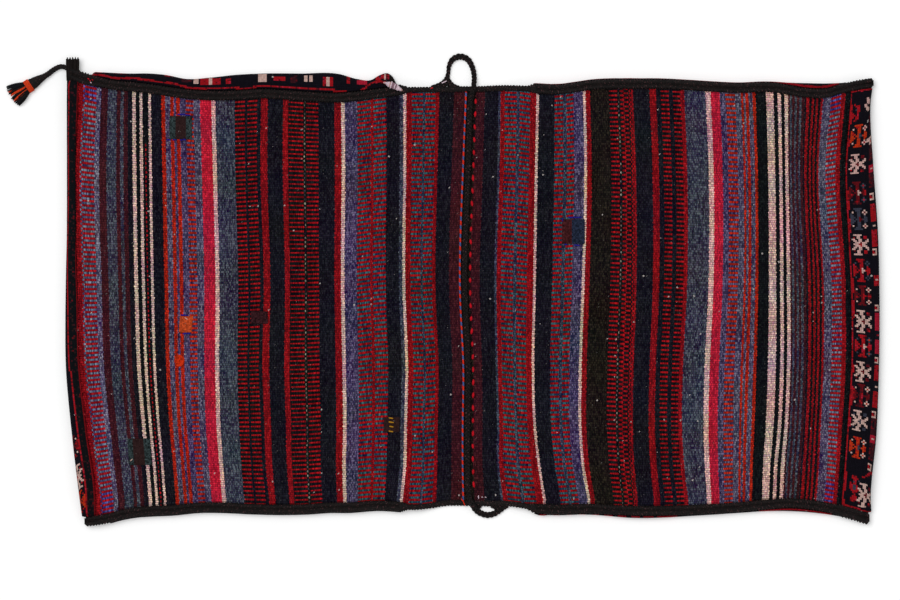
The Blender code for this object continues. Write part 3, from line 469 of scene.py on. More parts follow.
class SaddleBagDyes(PropertyGroup):
    """Colours of the yarns."""

    red: dye("Madder red wool", "730d14")
    bar: dye("Red wool of the barred stripes", "7f0d14")
    ladder: dye("Red wool of the ladders", "7c080e")
    deep_red: dye("Deep red wool", "5a0f16")
    scarlet: dye("Scarlet pile wool", "94121a")
    orange_hair: dye("Orange tassel wool", "c83c18")
    vivid: dye("Vivid red sewing thread", "c01020")
    coral: dye("Coral twining thread", "d02c18")
    royal: dye("Blue twining thread", "44588e")
    crimson: dye("Crimson wool", "a01a2f")
    flame: dye("Orange-red wool", "a82e14")
    orange: dye("Orange wool", "8e1c0e")
    navy: dye("Navy wool", "13121a")
    black: dye("Black wool", "0d0f12")
    goat: dye("Undyed goat hair", "181311")
    slate: dye("Slate-blue wool", "353744")
    teal: dye("Blue-grey wool", "303444")
    rung: dye("Blue wool of the ladders", "1e3b47")
    violet: dye("Violet wool", "413854")
    lilac: dye("Lilac wool", "474256")
    indigo: dye("Indigo wool", "34346a")
    mist: dye("Faded blue wool", "4a5064")
    maroon: dye("Maroon wool", "35131a")
    cream: dye("Undyed cream wool", "c0a096")
    rose: dye("Faded pink wool", "c09a94")
    beige: dye("Beige wool", "b89890")
    ash: dye("Grey-white wool", "4b4749")
    green: dye("Green darning wool", "263031")
    brown: dye("Brown darning wool", "281818")
    patch_maroon: dye("Maroon darning wool", "391618")
    patch_navy: dye("Navy darning wool", "1d2435")
    patch_orange: dye("Orange darning wool", "ac411e")
    patch_dark: dye("Dark maroon darning wool", "2d1519")
    patch_red: dye("Red-orange darning wool", "ad290d")
    ground: dye("Blue-black pile wool", "0f0d14")
    haze: dye("Greyed lilac wool", "534e62")
    faded: dye("Rubbed pink whipping thread", "8a6a76")
    yellow: dye("Yellow darning thread", "b07e1e")
    ultramarine: dye("Deep blue sewing thread", "1e1880")
    pale: dye("Pale pink whipping thread", "d4bec8")


class SaddleBagWeave(PropertyGroup):
    """Sizes of the weave and of the handwork."""

    rib: FloatProperty(name="Rib relief", description="Height of the weft ridges over each warp",
                       default=0.35 * MM, min=0, max=0.001, unit="LENGTH")
    pick: FloatProperty(name="Pick spacing", description="Distance between wefts along the bag",
                        default=1.3 * MM, min=0.0005, max=0.003, unit="LENGTH")
    wrap: FloatProperty(name="Overcast spacing", description="Distance between wraps of a seam",
                        default=4.4 * MM, min=0.002, max=0.01, unit="LENGTH")
    braid: FloatProperty(name="Braid repeat", description="Length in which a braid repeats",
                         default=17.0 * MM, min=0.008, max=0.03, unit="LENGTH")
    stitch: FloatProperty(name="Running stitch spacing", description="From one stitch to the next",
                          default=18.8 * MM, min=0.008, max=0.03, unit="LENGTH")
    strands: IntProperty(name="Tassel strands", description="Loose strands in the tassel",
                         default=90, min=20, max=200)


class SaddleBagStage(PropertyGroup):
    """Light, floor and camera."""

    key: FloatProperty(name="Key lamp", description="Strength of the soft overhead lamp",
                       default=1.55, min=0)
    sky: FloatProperty(name="Sky", description="Strength of the even light from all sides",
                       default=0.55, min=0)
    height: FloatProperty(name="Camera height", description="Camera's height over the bag",
                          default=12.0, min=2, unit="LENGTH")


# Shapes of the strip

def hermite(t, span, low, high, slope_low, slope_high):
    """Soft curve from one height to another with given slopes, for t from 0 to 1."""
    start = (2 * t**3 - 3 * t**2 + 1) * low + (t**3 - 2 * t**2 + t) * span * slope_low
    return start + (3 * t**2 - 2 * t**3) * high + (t**3 - t**2) * span * slope_high


def soft(x, points):
    """Height at x of the soft curve through a list of points."""
    xs, ys = np.array(points, dtype=float).T
    slopes = np.gradient(ys, xs)
    i = np.clip(np.searchsorted(xs, x) - 1, 0, len(xs) - 2)
    span = xs[i + 1] - xs[i]
    t = np.clip((x - xs[i]) / span, 0.0, 1.0)
    return hermite(t, span, ys[i], ys[i + 1], slopes[i], slopes[i + 1])


def ease(t):
    """Soft step from 0 to 1."""
    t = np.clip(t, 0.0, 1.0)
    return t * t * (3 - 2 * t)


def mix(a, b, t):
    return a + (b - a) * t


def spread(start, stop, step):
    """Even places from start to stop, about a step apart."""
    count = max(2, round(abs(stop - start) / step))
    return [mix(start, stop, k / count) for k in range(count + 1)]


def drift(station, y):
    """How far a stripe at this station is dragged along the bag at height y."""
    row = [np.interp(station, list(STRIPE_DRIFT), shifts) for shifts in zip(*STRIPE_DRIFT.values())]
    return soft(y, list(zip(DRIFT_HEIGHTS, row)))


def past_mouths(x):
    """How far x lies inside the bridge, from the nearer mouth."""
    return np.minimum(x - LEFT_MOUTH, RIGHT_MOUTH - x)


def edge_half(x):
    """Half width of the goat-hair edging at x."""
    return mix(SEAM_WIDTH, SELVEDGE_WIDTH, ease(past_mouths(x) / SELVEDGE_MEET)) / 2


def pouch_share(x):
    """1 where the back lies on a pouch, 0 where the bridge lies on the ground."""
    return 1.0 - ease((past_mouths(x) - MOUTH_LEDGE) / BRIDGE_FALL)


def seam_line(x, side):
    return soft(x, UPPER_SEAM if side > 0 else LOWER_SEAM)


def pile_line(x, side):
    return soft(x, UPPER_PILE if side > 0 else LOWER_PILE)


def foot_line(y, end):
    return soft(y, RIGHT_FOOT if end > 0 else LEFT_FOOT)


def cloth_edge(x, side):
    """The kilim's edge at x, tucked a little way under its seam."""
    return seam_line(x, side) - side * (edge_half(x) + SEAM_CLEARANCE - TUCK)


def back_edge(station, side):
    """The kilim's edge at a station, as x and y."""
    y = seam_line(station, side)
    for _ in range(3):
        x = station + drift(station, y)
        y = cloth_edge(x, side)
    return x, y


def back_height(x, depth):
    """Upper surface of the back at x, this deep inside its tucked edge."""
    rise = np.sin(np.pi / 2 * np.clip((depth - TUCK) / SIDE_RISE, 0.0, 1.0))
    dip = TUCK_DIP * (1 - ease(depth / (TUCK + 1.0)))
    return mix(KILIM_THICKNESS, mix(EDGE_TOP, TOP, rise) - dip, pouch_share(x))


def ripple(x, y, depth):
    """Slow waves of cloth that has been handled, and short puckers beside the seams."""
    waves = sum(height * np.sin(x / long + shift + y / lean) * np.sin(y / wide + x / slant)
                for height, long, shift, lean, wide, slant in WAVES)
    puckers = PUCKER_HEIGHT * np.sin(x / PUCKER_LENGTH + 2 * np.sin(x / 37))
    held = np.clip(depth / WAVE_REACH, 0, 1)
    both = waves * held + puckers * np.exp(-depth / PUCKER_REACH)
    return both * mix(BRIDGE_RIPPLE, 1.0, pouch_share(x))


def cloth_top(x, y):
    """Height of the kilim's upper surface."""
    depth = np.maximum(np.minimum(y - cloth_edge(x, -1), cloth_edge(x, 1) - y), 0.0)
    return back_height(x, depth) + ripple(x, y, depth)


# Meshes

def quads(grid, flip=False):
    """Faces between neighbours in a grid of point numbers."""
    faces = np.stack([grid[:-1, :-1], grid[1:, :-1], grid[1:, 1:], grid[:-1, 1:]], axis=-1)
    faces = faces.reshape(-1, 4)
    return (faces[:, ::-1] if flip else faces).tolist()


def zip_edges(a, b, places_a, places_b, flip):
    """Triangles between two runs of points, matched by their places from 0 to 1."""
    faces, i, j = [], 0, 0
    while i < len(a) - 1 or j < len(b) - 1:
        if j == len(b) - 1 or (i < len(a) - 1 and places_a[i + 1] <= places_b[j + 1]):
            faces.append((a[i], a[i + 1], b[j]))
            i += 1
        else:
            faces.append((a[i], b[j + 1], b[j]))
            j += 1
    return [f[::-1] for f in faces] if flip else faces


def slab(outer, inner, places=None):
    """A closed cloth from its outer and inner points, grids with the same columns."""
    columns, rows = outer.shape[:2]
    lining = inner.shape[1]
    top = np.arange(columns * rows).reshape(columns, rows)
    low = columns * rows + np.arange(columns * lining).reshape(columns, lining)
    spots = np.linspace(0, 1, rows)
    places = np.linspace(0, 1, lining) if places is None else places
    faces = quads(top) + quads(low, flip=True)
    for edge, flip in ((0, False), (-1, True)):
        faces += quads(np.stack([low[:, edge], top[:, edge]], axis=1), flip)
    for edge, flip in ((0, False), (-1, True)):
        faces += zip_edges(top[edge], low[edge], spots, places, flip)
    return np.concatenate([outer.reshape(-1, 3), inner.reshape(-1, 3)]), faces


def rings(points):
    """A closed solid from rings of points."""
    count, sides = points.shape[:2]
    numbers = np.arange(count * sides).reshape(count, sides)
    faces = quads(np.concatenate([numbers, numbers[:, :1]], axis=1))
    faces += [numbers[0].tolist(), numbers[-1][::-1].tolist()]
    return points.reshape(-1, 3), faces


def around(path, turns):
    """Directions square to a path at each of its points, one for each turn round it."""
    ahead = np.gradient(path, axis=0)
    ahead /= np.linalg.norm(ahead, axis=1)[:, None]
    across = np.cross(ahead, UP)
    across /= np.maximum(np.linalg.norm(across, axis=1), 1e-6)[:, None]
    up = np.cross(across, ahead)
    return np.cos(turns)[:, None] * across[:, None] + np.sin(turns)[:, None] * up[:, None]


def full_turn(sides):
    """Even angles all the way round."""
    return np.linspace(0, 2 * np.pi, sides, endpoint=False)


def tube(path, radii, sides):
    """A closed tube along a path, with a radius at each point."""
    path = np.array(path, dtype=float)
    radii = np.broadcast_to(radii, len(path))
    return rings(path[:, None] + around(path, full_turn(sides)) * radii[:, None, None])


def join(parts):
    """Several meshes as one, with the number of the mesh that each face comes from."""
    verts, faces, owner, base = [], [], [], 0
    for k, (points, polygons) in enumerate(parts):
        verts.append(points)
        faces += [[base + v for v in f] for f in polygons]
        owner += [k] * len(polygons)
        base += len(points)
    return np.concatenate(verts), faces, np.array(owner)


def lengths(path):
    """How far along a path each of its points lies."""
    return np.concatenate([[0.0], np.cumsum(np.linalg.norm(np.diff(path, axis=0), axis=1))])


def pairs(a, b):
    """Places in the weave: every pair that two arrays make when spread over each other."""
    return np.stack(np.broadcast_arrays(a, b), axis=-1).reshape(-1, 2)


def piece(name, verts, faces, wool, nodes, yarns=None, weave=None):
    """A named piece of the bag in place of its plain solids. yarns names each face's yarn,
    and weave gives each point's place along and across its yarns, in millimetres."""
    mesh = bpy.data.meshes.new(name)
    mesh.from_pydata((np.asarray(verts) * MM).tolist(), [], faces)
    if yarns is not None:
        dyes = bpy.context.scene.saddle_bag_dyes
        names, index = np.unique(np.asarray(yarns), return_inverse=True)
        palette = np.array([list(getattr(dyes, n)) + [UNEVEN.get(n, 0.5)] for n in names])
        colours = np.repeat(palette[index.ravel()], [len(f) for f in faces], axis=0)
        mesh.color_attributes.new("dye", "FLOAT_COLOR", "CORNER")
        mesh.color_attributes["dye"].data.foreach_set("color", colours.ravel())
    if weave is not None:
        corners = np.fromiter((v for f in faces for v in f), int)
        layer = mesh.uv_layers.new(name="weave")
        layer.data.foreach_set("uv", (np.asarray(weave)[corners] * MM).ravel())
    mesh.validate()
    mesh.shade_smooth()
    mesh.materials.append(bpy.data.materials.get(wool.__name__) or wool())
    obj = bpy.data.objects.new(name, mesh)
    bpy.context.scene.collection.objects.link(obj)
    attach(obj, "root")
    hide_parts(*nodes)
    return obj


# Materials

MIX_COLOURS = {"data_type": "RGBA", "clamp_factor": True}


def feed(tree, socket, value):
    """Sets a socket to a value, or links it to a socket or to a node's first output."""
    if isinstance(value, bpy.types.Node):
        value = value.outputs[0]
    if isinstance(value, bpy.types.NodeSocket):
        tree.links.new(value, socket)
    else:
        socket.default_value = value


def add(tree, kind, *inputs, **settings):
    """A node of this kind, with its operation after a space where it has one. Inputs fill its
    sockets in order or, with a capital, by name. The other words are its settings."""
    kind, _, operation = kind.partition(" ")
    node = tree.nodes.new("ShaderNode" + kind)
    if operation:
        node.operation = operation
    sockets = dict(enumerate(inputs))
    for key, value in settings.items():
        if key[0].isupper():
            sockets[key] = value
        else:
            setattr(node, key, value)
    for key, value in sockets.items():
        feed(tree, node.inputs[key], value)
    return node


def begin(name):
    """A new material and its node tree."""
    material = bpy.data.materials.new(name)
    material.use_nodes = True
    return material, material.node_tree


def finish(material, colour, height, relief, depth, roughness, gleam):
    """Gives a material's shader its colour, its relief and how dull it is."""
    tree = material.node_tree
    bump = add(tree, "Bump", Strength=relief, Distance=depth, Height=height)
    for socket, value in (("Base Color", colour), ("Normal", bump), ("Roughness", roughness),
                          ("Specular IOR Level", gleam)):
        feed(tree, tree.nodes["Principled BSDF"].inputs[socket], value)
    return material


def total(tree, start, *shares):
    """A start with shares of other values added, each a value and its weight."""
    for value, weight in shares:
        start = add(tree, "Math MULTIPLY_ADD", value, weight, start)
    return start


def noise(tree, vector, across, along=None, detail=2.0, roughness=0.5):
    """Noise from about -0.5 to 0.5, with this many turns to a metre across and along."""
    scaled = add(tree, "Mapping", Vector=vector, Scale=(across, along or across, 1.0))
    cloud = add(tree, "TexNoise", Vector=scaled, Scale=1.0, Detail=detail, Roughness=roughness)
    return add(tree, "Math SUBTRACT", cloud, 0.5)


def cell_value(tree, vector, width, height):
    """One steady random value from 0 to 1 for each cell of a grid, cells in metres."""
    cells = add(tree, "VectorMath MULTIPLY", vector, (1 / width, 1 / height, 1.0))
    whole = add(tree, "VectorMath FLOOR", cells)
    return add(tree, "TexWhiteNoise", Vector=whole, noise_dimensions="2D").outputs["Value"]


def ridges(tree, place, spacing, shift=0.0):
    """Rounded ridges this far apart, 0 in the grooves and 1 on the crests."""
    phase = add(tree, "Math MULTIPLY_ADD", place, math.pi / spacing, shift)
    return add(tree, "Math ABSOLUTE", add(tree, "Math SINE", phase))


def with_lint(tree, colour, vector, spacing, least, fleck):
    """A colour with small uneven flecks of pale lint, one in a few cells of this spacing."""
    wobble = noise(tree, vector, 900.0)
    bent = add(tree, "VectorMath MULTIPLY_ADD", wobble, (0.004, 0.004, 0.0), vector)
    cell = add(tree, "TexVoronoi", Vector=bent, Scale=1 / spacing, voronoi_dimensions="2D").outputs
    luck = add(tree, "SeparateColor", cell["Color"]).outputs
    picked = add(tree, "Math GREATER_THAN", luck[0], least)
    near = add(tree, "Math LESS_THAN", cell["Distance"], total(tree, 0.03, (luck[1], 0.075)))
    chance = add(tree, "Math MULTIPLY", add(tree, "Math MULTIPLY", picked, near), 0.85)
    flecked = add(tree, "Mix", Factor=chance, A=colour, B=linear(fleck), **MIX_COLOURS)
    return flecked.outputs["Result"]


def weft_faced_handwoven_wool():
    """Handspun wool beaten down hard over the warps, so only weft shows. The eye gets fine
    ribs along the bag and short weft floats over them, painted shade between the ribs and
    between the floats, uneven dye and specks of lint."""
    material, tree = begin("weft_faced_handwoven_wool")
    rib, pick = RIB * MM, bpy.context.scene.saddle_bag_weave.pick
    uv = add(tree, "UVMap", uv_map="weave")
    dyed = add(tree, "VertexColor", layer_name="dye").outputs
    along, across, _ = add(tree, "SeparateXYZ", uv).outputs
    crest = ridges(tree, across, rib)
    row = add(tree, "Math FLOOR", add(tree, "Math DIVIDE", across, rib))
    floats = ridges(tree, along, pick, add(tree, "Math MULTIPLY", row, math.pi / 2))
    luck = cell_value(tree, uv, pick, rib)
    grain = add(tree, "Math SUBTRACT", luck, 0.5)
    rung = add(tree, "Math SUBTRACT", cell_value(tree, uv, RUNG * MM, rib), 0.5)
    streak = noise(tree, uv, 700.0, 30.0, 3.0)
    abrash = noise(tree, uv, 60.0, 9.0, 1.5)
    wear = noise(tree, uv, 7.0, detail=4.0, roughness=0.6)
    glint = add(tree, "Math SUBTRACT", add(tree, "Math POWER", luck, 2.5), 0.286)
    patchy = total(tree, 0.0, (rung, 0.25), (abrash, 0.75), (glint, 1.8), (streak, 0.6))
    patchy = add(tree, "Math MULTIPLY", patchy, dyed["Alpha"])
    # Lighter places lean to green and away from blue, and each small spot has its own cast
    lift = add(tree, "VectorMath MULTIPLY_ADD", patchy, (1.0, 1.15, 0.75), (1.0, 1.0, 1.0))
    for spots, strength in ((600.0, 1.2), (16.0, 0.6)):
        cast = add(tree, "TexNoise", Vector=uv, Scale=spots, Detail=1.0).outputs["Color"]
        cast = add(tree, "VectorMath SUBTRACT", cast, (0.5,) * 3)
        lift = add(tree, "VectorMath MULTIPLY_ADD", cast, (strength,) * 3, lift)
    colour = add(tree, "VectorMath MULTIPLY", dyed["Color"], lift)
    # Tone: wear, grain and streaks of the yarn, with painted shade between the weft floats
    tone = total(tree, 1.02, (wear, 0.3), (grain, 0.46), (floats, 0.14), (streak, 1.3))
    tone = add(tree, "Math MAXIMUM", tone, 0.2)
    # Painted shade in the grooves between ribs, deeper in pale yarn
    pale = add(tree, "SeparateColor", dyed["Color"]).outputs[1]
    groove = add(tree, "Math SUBTRACT", crest, 1.0)
    dip = total(tree, 0.45, (pale, 0.8))
    shade = add(tree, "Math MULTIPLY", tone, total(tree, 1.1, (groove, dip)))
    colour = add(tree, "VectorMath SCALE", colour, Scale=shade)
    colour = add(tree, "VectorMath MAXIMUM", colour, (0.0,) * 3)
    colour = with_lint(tree, colour, uv, 0.005, 0.95, GREY_LINT)
    colour = with_lint(tree, colour, uv, 0.0125, 0.955, PALE_LINT)
    height = total(tree, crest, (floats, 0.28), (streak, 0.5))
    return finish(material, colour, height, 0.7, 0.0006, 0.95, 0.04)


def knotted_cut_pile_wool():
    """Knotted wool pile, cut short and rubbed by use. Each knot shows as a soft square tuft
    of its own depth of colour, with painted shade in the gaps between."""
    material, tree = begin("knotted_cut_pile_wool")
    knot = KNOT * MM
    uv = add(tree, "UVMap", uv_map="weave")
    yarn = add(tree, "VertexColor", layer_name="dye")
    along, across, _ = add(tree, "SeparateXYZ", uv).outputs
    mound = add(tree, "Math MULTIPLY", ridges(tree, along, knot), ridges(tree, across, knot))
    mound = add(tree, "Math POWER", mound, 0.5)
    grain = cell_value(tree, uv, knot, knot)
    fibre = noise(tree, uv, 2600.0, 900.0)
    patch = noise(tree, uv, 24.0, detail=3.0, roughness=0.6)
    tone = total(tree, 0.80, (grain, 0.34), (fibre, 0.5), (patch, 0.3))
    # Painted shade: darker in the gaps between the knots' mounds
    shade = add(tree, "Math MULTIPLY", tone, total(tree, 0.74, (mound, 0.32)))
    colour = add(tree, "VectorMath SCALE", yarn, Scale=shade)
    colour = with_lint(tree, colour, uv, 0.016, 0.96, PALE_LINT)
    height = total(tree, mound, (grain, 0.35), (fibre, 0.6))
    return finish(material, colour, height, 0.7, 0.0008, 0.95, 0.04)


def spun_goat_hair():
    """Coarse undyed goat hair, spun and plied by hand. The eye gets long fibres along the
    yarn, browner and redder hairs among the black ones, and a low gleam."""
    material, tree = begin("spun_goat_hair")
    uv = add(tree, "UVMap", uv_map="weave")
    strand = noise(tree, uv, 135.0, 900.0, 3.0, 0.6)
    share = total(tree, 0.22, (strand, 2.6), (noise(tree, uv, 60.0), 0.9))
    stray = add(tree, "Math GREATER_THAN", noise(tree, uv, 270.0, 540.0, 1.0), 0.16)
    colour = linear("060404")
    for share, hair in ((share, "1f1817"), (add(tree, "Math MULTIPLY", stray, 0.75), "56383a")):
        mix_in = add(tree, "Mix", Factor=share, A=colour, B=linear(hair), **MIX_COLOURS)
        colour = mix_in.outputs["Result"]
    return finish(material, colour, strand, 0.6, 0.0005, 0.75, 0.12)


def plied_dyed_wool():
    """Wool sewing thread, plied and dyed. The eye gets short fibres along the thread and a
    colour that is deeper in some places than in others."""
    material, tree = begin("plied_dyed_wool")
    uv = add(tree, "UVMap", uv_map="weave")
    yarn = add(tree, "VertexColor", layer_name="dye")
    strand = noise(tree, uv, 210.0, 1400.0, 3.0, 0.6)
    share = total(tree, 0.22, (strand, 2.6), (noise(tree, uv, 60.0), 0.9))
    colour = add(tree, "VectorMath SCALE", yarn, Scale=total(tree, 0.8, (share, 0.6)))
    return finish(material, colour, strand, 0.6, 0.0005, 0.9, 0.1)


def hand_darned_wool():
    """Soft wool darned over and under by hand. The eye gets small checks where the yarns
    cross, each at its own depth of colour, with fluff and a little lint between them."""
    material, tree = begin("hand_darned_wool")
    uv = add(tree, "UVMap", uv_map="weave")
    yarn = add(tree, "VertexColor", layer_name="dye").outputs
    check = add(tree, "Math SUBTRACT", cell_value(tree, uv, DARN_CHECK * MM, DARN_CHECK * MM), 0.5)
    fluff = noise(tree, uv, 300.0, 600.0, 3.0, 0.6)
    depth = total(tree, 0.0, (fluff, 3.6), (check, 1.5))
    shade = add(tree, "Math MAXIMUM", total(tree, 1.0, (depth, yarn["Alpha"])), 0.25)
    colour = add(tree, "VectorMath SCALE", yarn["Color"], Scale=shade)
    colour = with_lint(tree, colour, uv, 0.006, 0.9, "8a8684")
    return finish(material, colour, add(tree, "Math ADD", check, fluff), 0.6, 0.0006, 0.95, 0.05)


# The kilim

def kilim_columns():
    """Stations across the stripes, whether a stripe begins there, and the yarns that follow."""
    stations, begins, stripes = [], [], []
    at = KILIM_START
    for width, *yarns in STRIPES:
        parts = max(1, round(width / STRIPE_PART))
        for k in range(parts):
            stations.append(at + width * k / parts)
            begins.append(k == 0)
            stripes.append(yarns)
        at += width
    return np.array(stations + [at]), begins + [False], stripes


def taken_in_turn(yarns, turns):
    """The yarn of each rib, where ribs take the yarns of their stripe in turn."""
    return np.array(yarns, dtype=YARN_NAME)[turns % len(yarns)]


def weave_kilim(weave):
    """Both backs and the bridge, one weft-faced cloth with a rib over every warp."""
    stations, begins, stripes = kilim_columns()
    rows = np.arange(2 * RIBS + 1)
    shares, lining_shares = rows / rows[-1], np.linspace(0, 1, LINING_ROWS)
    crest = rows % 2
    turn = 1.0 - 2.0 * (rows // 2 % 2)
    relief = weave.rib / MM
    outer, inner = [], []
    for k, station in enumerate(stations):
        low, high = back_edge(station, -1)[1], back_edge(station, 1)[1]
        beside = stripes[max(0, k - 1):k + 1]
        pale = any(yarns[0] in ("cream", "rose", "beige") for yarns in beside)
        jog = (PALE_JOG if pale else JOG) * begins[k] * crest
        jog = jog * (0.4 * turn + RNG.normal(0, 0.3, len(rows)))
        along = (station - KILIM_START) / (KILIM_END - KILIM_START)
        crowd = CROWDING * math.cos(2 * math.pi * along) * np.sin(np.pi * shares) / np.pi
        y = mix(low, high, shares - crowd)
        yarns = beside[-1]
        if len(yarns) > 1 and "black" in yarns:
            y = y + BAR_SQUEEZE * (1 if yarns[0] == "bar" else -1) * turn * (1 - crest)
        x = station + drift(station, y) + jog
        outer.append(np.stack([x, y, cloth_top(x, y) + relief * (2 * crest - 1)], axis=1))
        y = mix(low, high, lining_shares)
        x = station + drift(station, y)
        inner.append(np.stack([x, y, cloth_top(x, y) - KILIM_THICKNESS + relief], axis=1))
    verts, faces = slab(np.array(outer), np.array(inner))
    ribs = rows[:-1] // 2
    fronts = [taken_in_turn(yarns, ribs) for yarns in stripes]
    backs = [taken_in_turn(yarns, np.arange(LINING_ROWS - 1)) for yarns in stripes]
    sides = [yarns[0] for yarns in stripes]
    for column, yarns in zip(fronts, stripes):
        if "mist" in yarns:
            ends = (ribs < INDIGO_ENDS[0] * RIBS) | (ribs > INDIGO_ENDS[1] * RIBS)
            column[ends & (column == "mist")] = "indigo"
        if "scarlet" in yarns:
            column[ribs > BLACK_END * RIBS] = "black"
    names = np.concatenate([np.ravel(fronts), np.ravel(backs), sides, sides])
    names = np.concatenate([names, ["navy"] * (len(faces) - len(names))])
    place = np.concatenate([pairs(stations[:, None], across * RIBS * RIB)
                            for across in (shares, lining_shares)])
    cloth = piece("kilim_back", verts, faces, weft_faced_handwoven_wool,
                  ["bag_cloth"], names, place)


# The pile faces

def back_rows(low, high):
    """Heights and depths of the frame's rows across the back."""
    rows = [(low + s * SIDE_RISE, s * SIDE_RISE) for s in RISE_SHARES]
    rows += [(mix(low + SIDE_RISE, high - SIDE_RISE, s), SIDE_RISE) for s in BETWEEN]
    return rows + [(high - s * SIDE_RISE, s * SIDE_RISE) for s in reversed(RISE_SHARES)]


def pile_side(x, side, to_foot):
    """Outer and inner points of a pile face's side, which curls up round a seam. Towards a
    corner the curl sinks under the seam, and then the pile draws in beside it."""
    seam = seam_line(x, side)
    half = edge_half(x)
    root = seam + side * half
    edge = seam - side * (half + SEAM_CLEARANCE)
    sunk = 1.0 - ease((to_foot - CORNER_TUCK) / (CORNER_SINK - CORNER_TUCK))
    drawn = 1.0 - ease((to_foot - CORNER_DROP) / (CORNER_TUCK - CORNER_DROP))
    reach = max(side * (pile_line(x, side) - root), LIP_LEAST)
    curl = mix(1.0, LIP_HEIGHT, ease((reach - LIP_LEAST) / LIP_FLARE))
    lip = SEAT + curl * (1.0 - sunk) - 0.2 * sunk
    start = 0.7 * LIP_LEAST
    outer = ((root + side * start, lip), (root + side * mix(start, reach, 0.7), lip),
             (root + side * reach, lip / 2), (root + side * (reach - 5.0), 0.0))
    inner = ((root + side * (start - 0.1), mix(SEAT, lip, 0.9)), (root - side * 0.6, SEAT),
             (seam - side * (half - 1.0), SEAT), (seam - side * (half + 6.0), PILE_THICKNESS))
    drawn_outer = ((edge, 4.6), (edge - side * 1.0, 1.8), (edge - side * 3.5, 0.5),
                   (edge - side * 8.0, 0.0))
    drawn_inner = ((edge - side * 0.1, 4.8), (edge - side * 1.5, SEAT), (edge - side * 6.0, SEAT),
                   (edge - side * 12.0, PILE_THICKNESS))
    return [[(mix(a[0], b[0], drawn), mix(a[1], b[1], drawn)) for a, b in zip(plain, tucked)]
            for plain, tucked in ((outer, drawn_outer), (inner, drawn_inner))]


def pile_column(x, end, slide=0.0):
    """Outer and inner points across a pile face at x, slid towards the foot's line."""
    def place(y):
        return mix(x, foot_line(y, end) - end * FOLD_REACH_UNDER, slide)

    sides = {}
    for side in (-1, 1):
        here = place(seam_line(x, side))
        sides[side] = pile_side(here, side, end * (foot_line(seam_line(here, side), end) - here))
    columns = []
    for layer, flat in ((0, 0.0), (1, PILE_THICKNESS)):
        low, high = sides[-1][layer], sides[1][layer]
        points = low + [(mix(low[-1][0], high[-1][0], s), flat) for s in BETWEEN] + high[::-1]
        columns.append([(place(y), y, z) for y, z in points])
    return np.array(columns)


def band_column(end, share):
    """A column of the pile that comes over the foot onto the back, from its front edge (0)
    to the fold (1)."""
    station = KILIM_START if end < 0 else KILIM_END
    front = [back_edge(station, side)[1] for side in (-1, 1)]
    fold = [cloth_edge(foot_line(side * FOOT_HALF_WIDTH, end) - end * FOLD_REACH_TOP, side)
            for side in (-1, 1)]
    columns = []
    for (y0, depth), (y1, _) in zip(back_rows(*front), back_rows(*fold)):
        x = mix(station + drift(station, y0) + end * CLEARANCE,
                foot_line(y1, end) - end * FOLD_REACH_TOP, share)
        y = mix(y0, y1, share)
        columns.append((x, y, cloth_top(x, y) if share < 1 else back_height(x, depth), depth))
    x, y, top, depth = np.array(columns).T
    lift = PILE_STEP * np.clip(depth / SIDE_RISE, 0.15, 1.0)
    return np.stack([np.stack([x, y, z], axis=1)
                     for z in (top + lift, top - KILIM_THICKNESS + 0.2)])


def pile_columns(end):
    """Columns from where the pile meets the kilim, over the foot and under to the mouth."""
    meets, mouth = (KILIM_START, LEFT_MOUTH) if end < 0 else (KILIM_END, RIGHT_MOUTH)
    width = abs(foot_line(BAND_AT, end) - end * FOLD_REACH_TOP - meets)
    columns = [band_column(end, s) for s in spread(0.0, 1.0, KNOT / max(width, 2 * KNOT))]
    columns[0][0, :, 2] -= 0.8 * PILE_STEP
    under = pile_column(foot_line(0.0, end) - end * FOLD_REACH_UNDER, end, 1.0)
    above = columns[-1]
    for angle in np.linspace(math.pi / 2, -math.pi / 2, FOLD_STEPS)[1:-1]:
        share = (1 + math.sin(angle)) / 2
        reach = FOLD_REACH_TOP if angle > 0 else FOLD_REACH_UNDER
        layers = []
        for nose, low, high in ((0.0, under[0], above[0]), (PILE_THICKNESS, under[1], above[1])):
            y, z = mix(low[:, 1:], high[:, 1:], share).T
            inset = nose + (reach - nose) * (1 - math.cos(angle))
            layers.append(np.stack([foot_line(y, end) - end * inset, y, z], axis=1))
        columns.append(np.stack(layers))
    turned = len(columns)
    last = foot_line(0.0, end) - end * (FOLD_REACH_UNDER + CORNER_SINK)
    columns += [pile_column(last, end, slide) for slide in np.linspace(1, 0, UNDER_COLUMNS)]
    columns += [pile_column(x, end) for x in spread(last, mouth, KNOT)[1:]]
    columns = np.array(columns)
    return knots_along(finer_rows(columns[:, 0]), columns[:, 1], turned, SHOWN_KNOTS[end])


def knots_along(outer, inner, turned, shown):
    """Columns a knot apart from the kilim's end over the foot, as far as is shown, then even
    ones on to the underside, where the given columns carry on."""
    def resampled(layer, places):
        low = np.clip(places.astype(int), 0, turned - 2)
        share = (places - low)[..., None]
        rows = np.arange(layer.shape[1])
        return mix(layer[low, rows], layer[low + 1, rows], share)

    count = shown + HIDDEN_COLUMNS
    places = []
    for row in outer[:turned].swapaxes(0, 1):
        runs = lengths(row)
        front = min(shown * KNOT, 0.8 * runs[-1])
        at = np.concatenate([np.linspace(0, front, shown, endpoint=False),
                             np.linspace(front, runs[-1], count - shown)])
        places.append(np.interp(at, runs, np.arange(turned)))
    places = np.stack(places, axis=1)
    return (np.concatenate([resampled(outer, places), outer[turned:]]),
            np.concatenate([resampled(inner, places[:, ROW_PLACES.astype(int)]), inner[turned:]]))


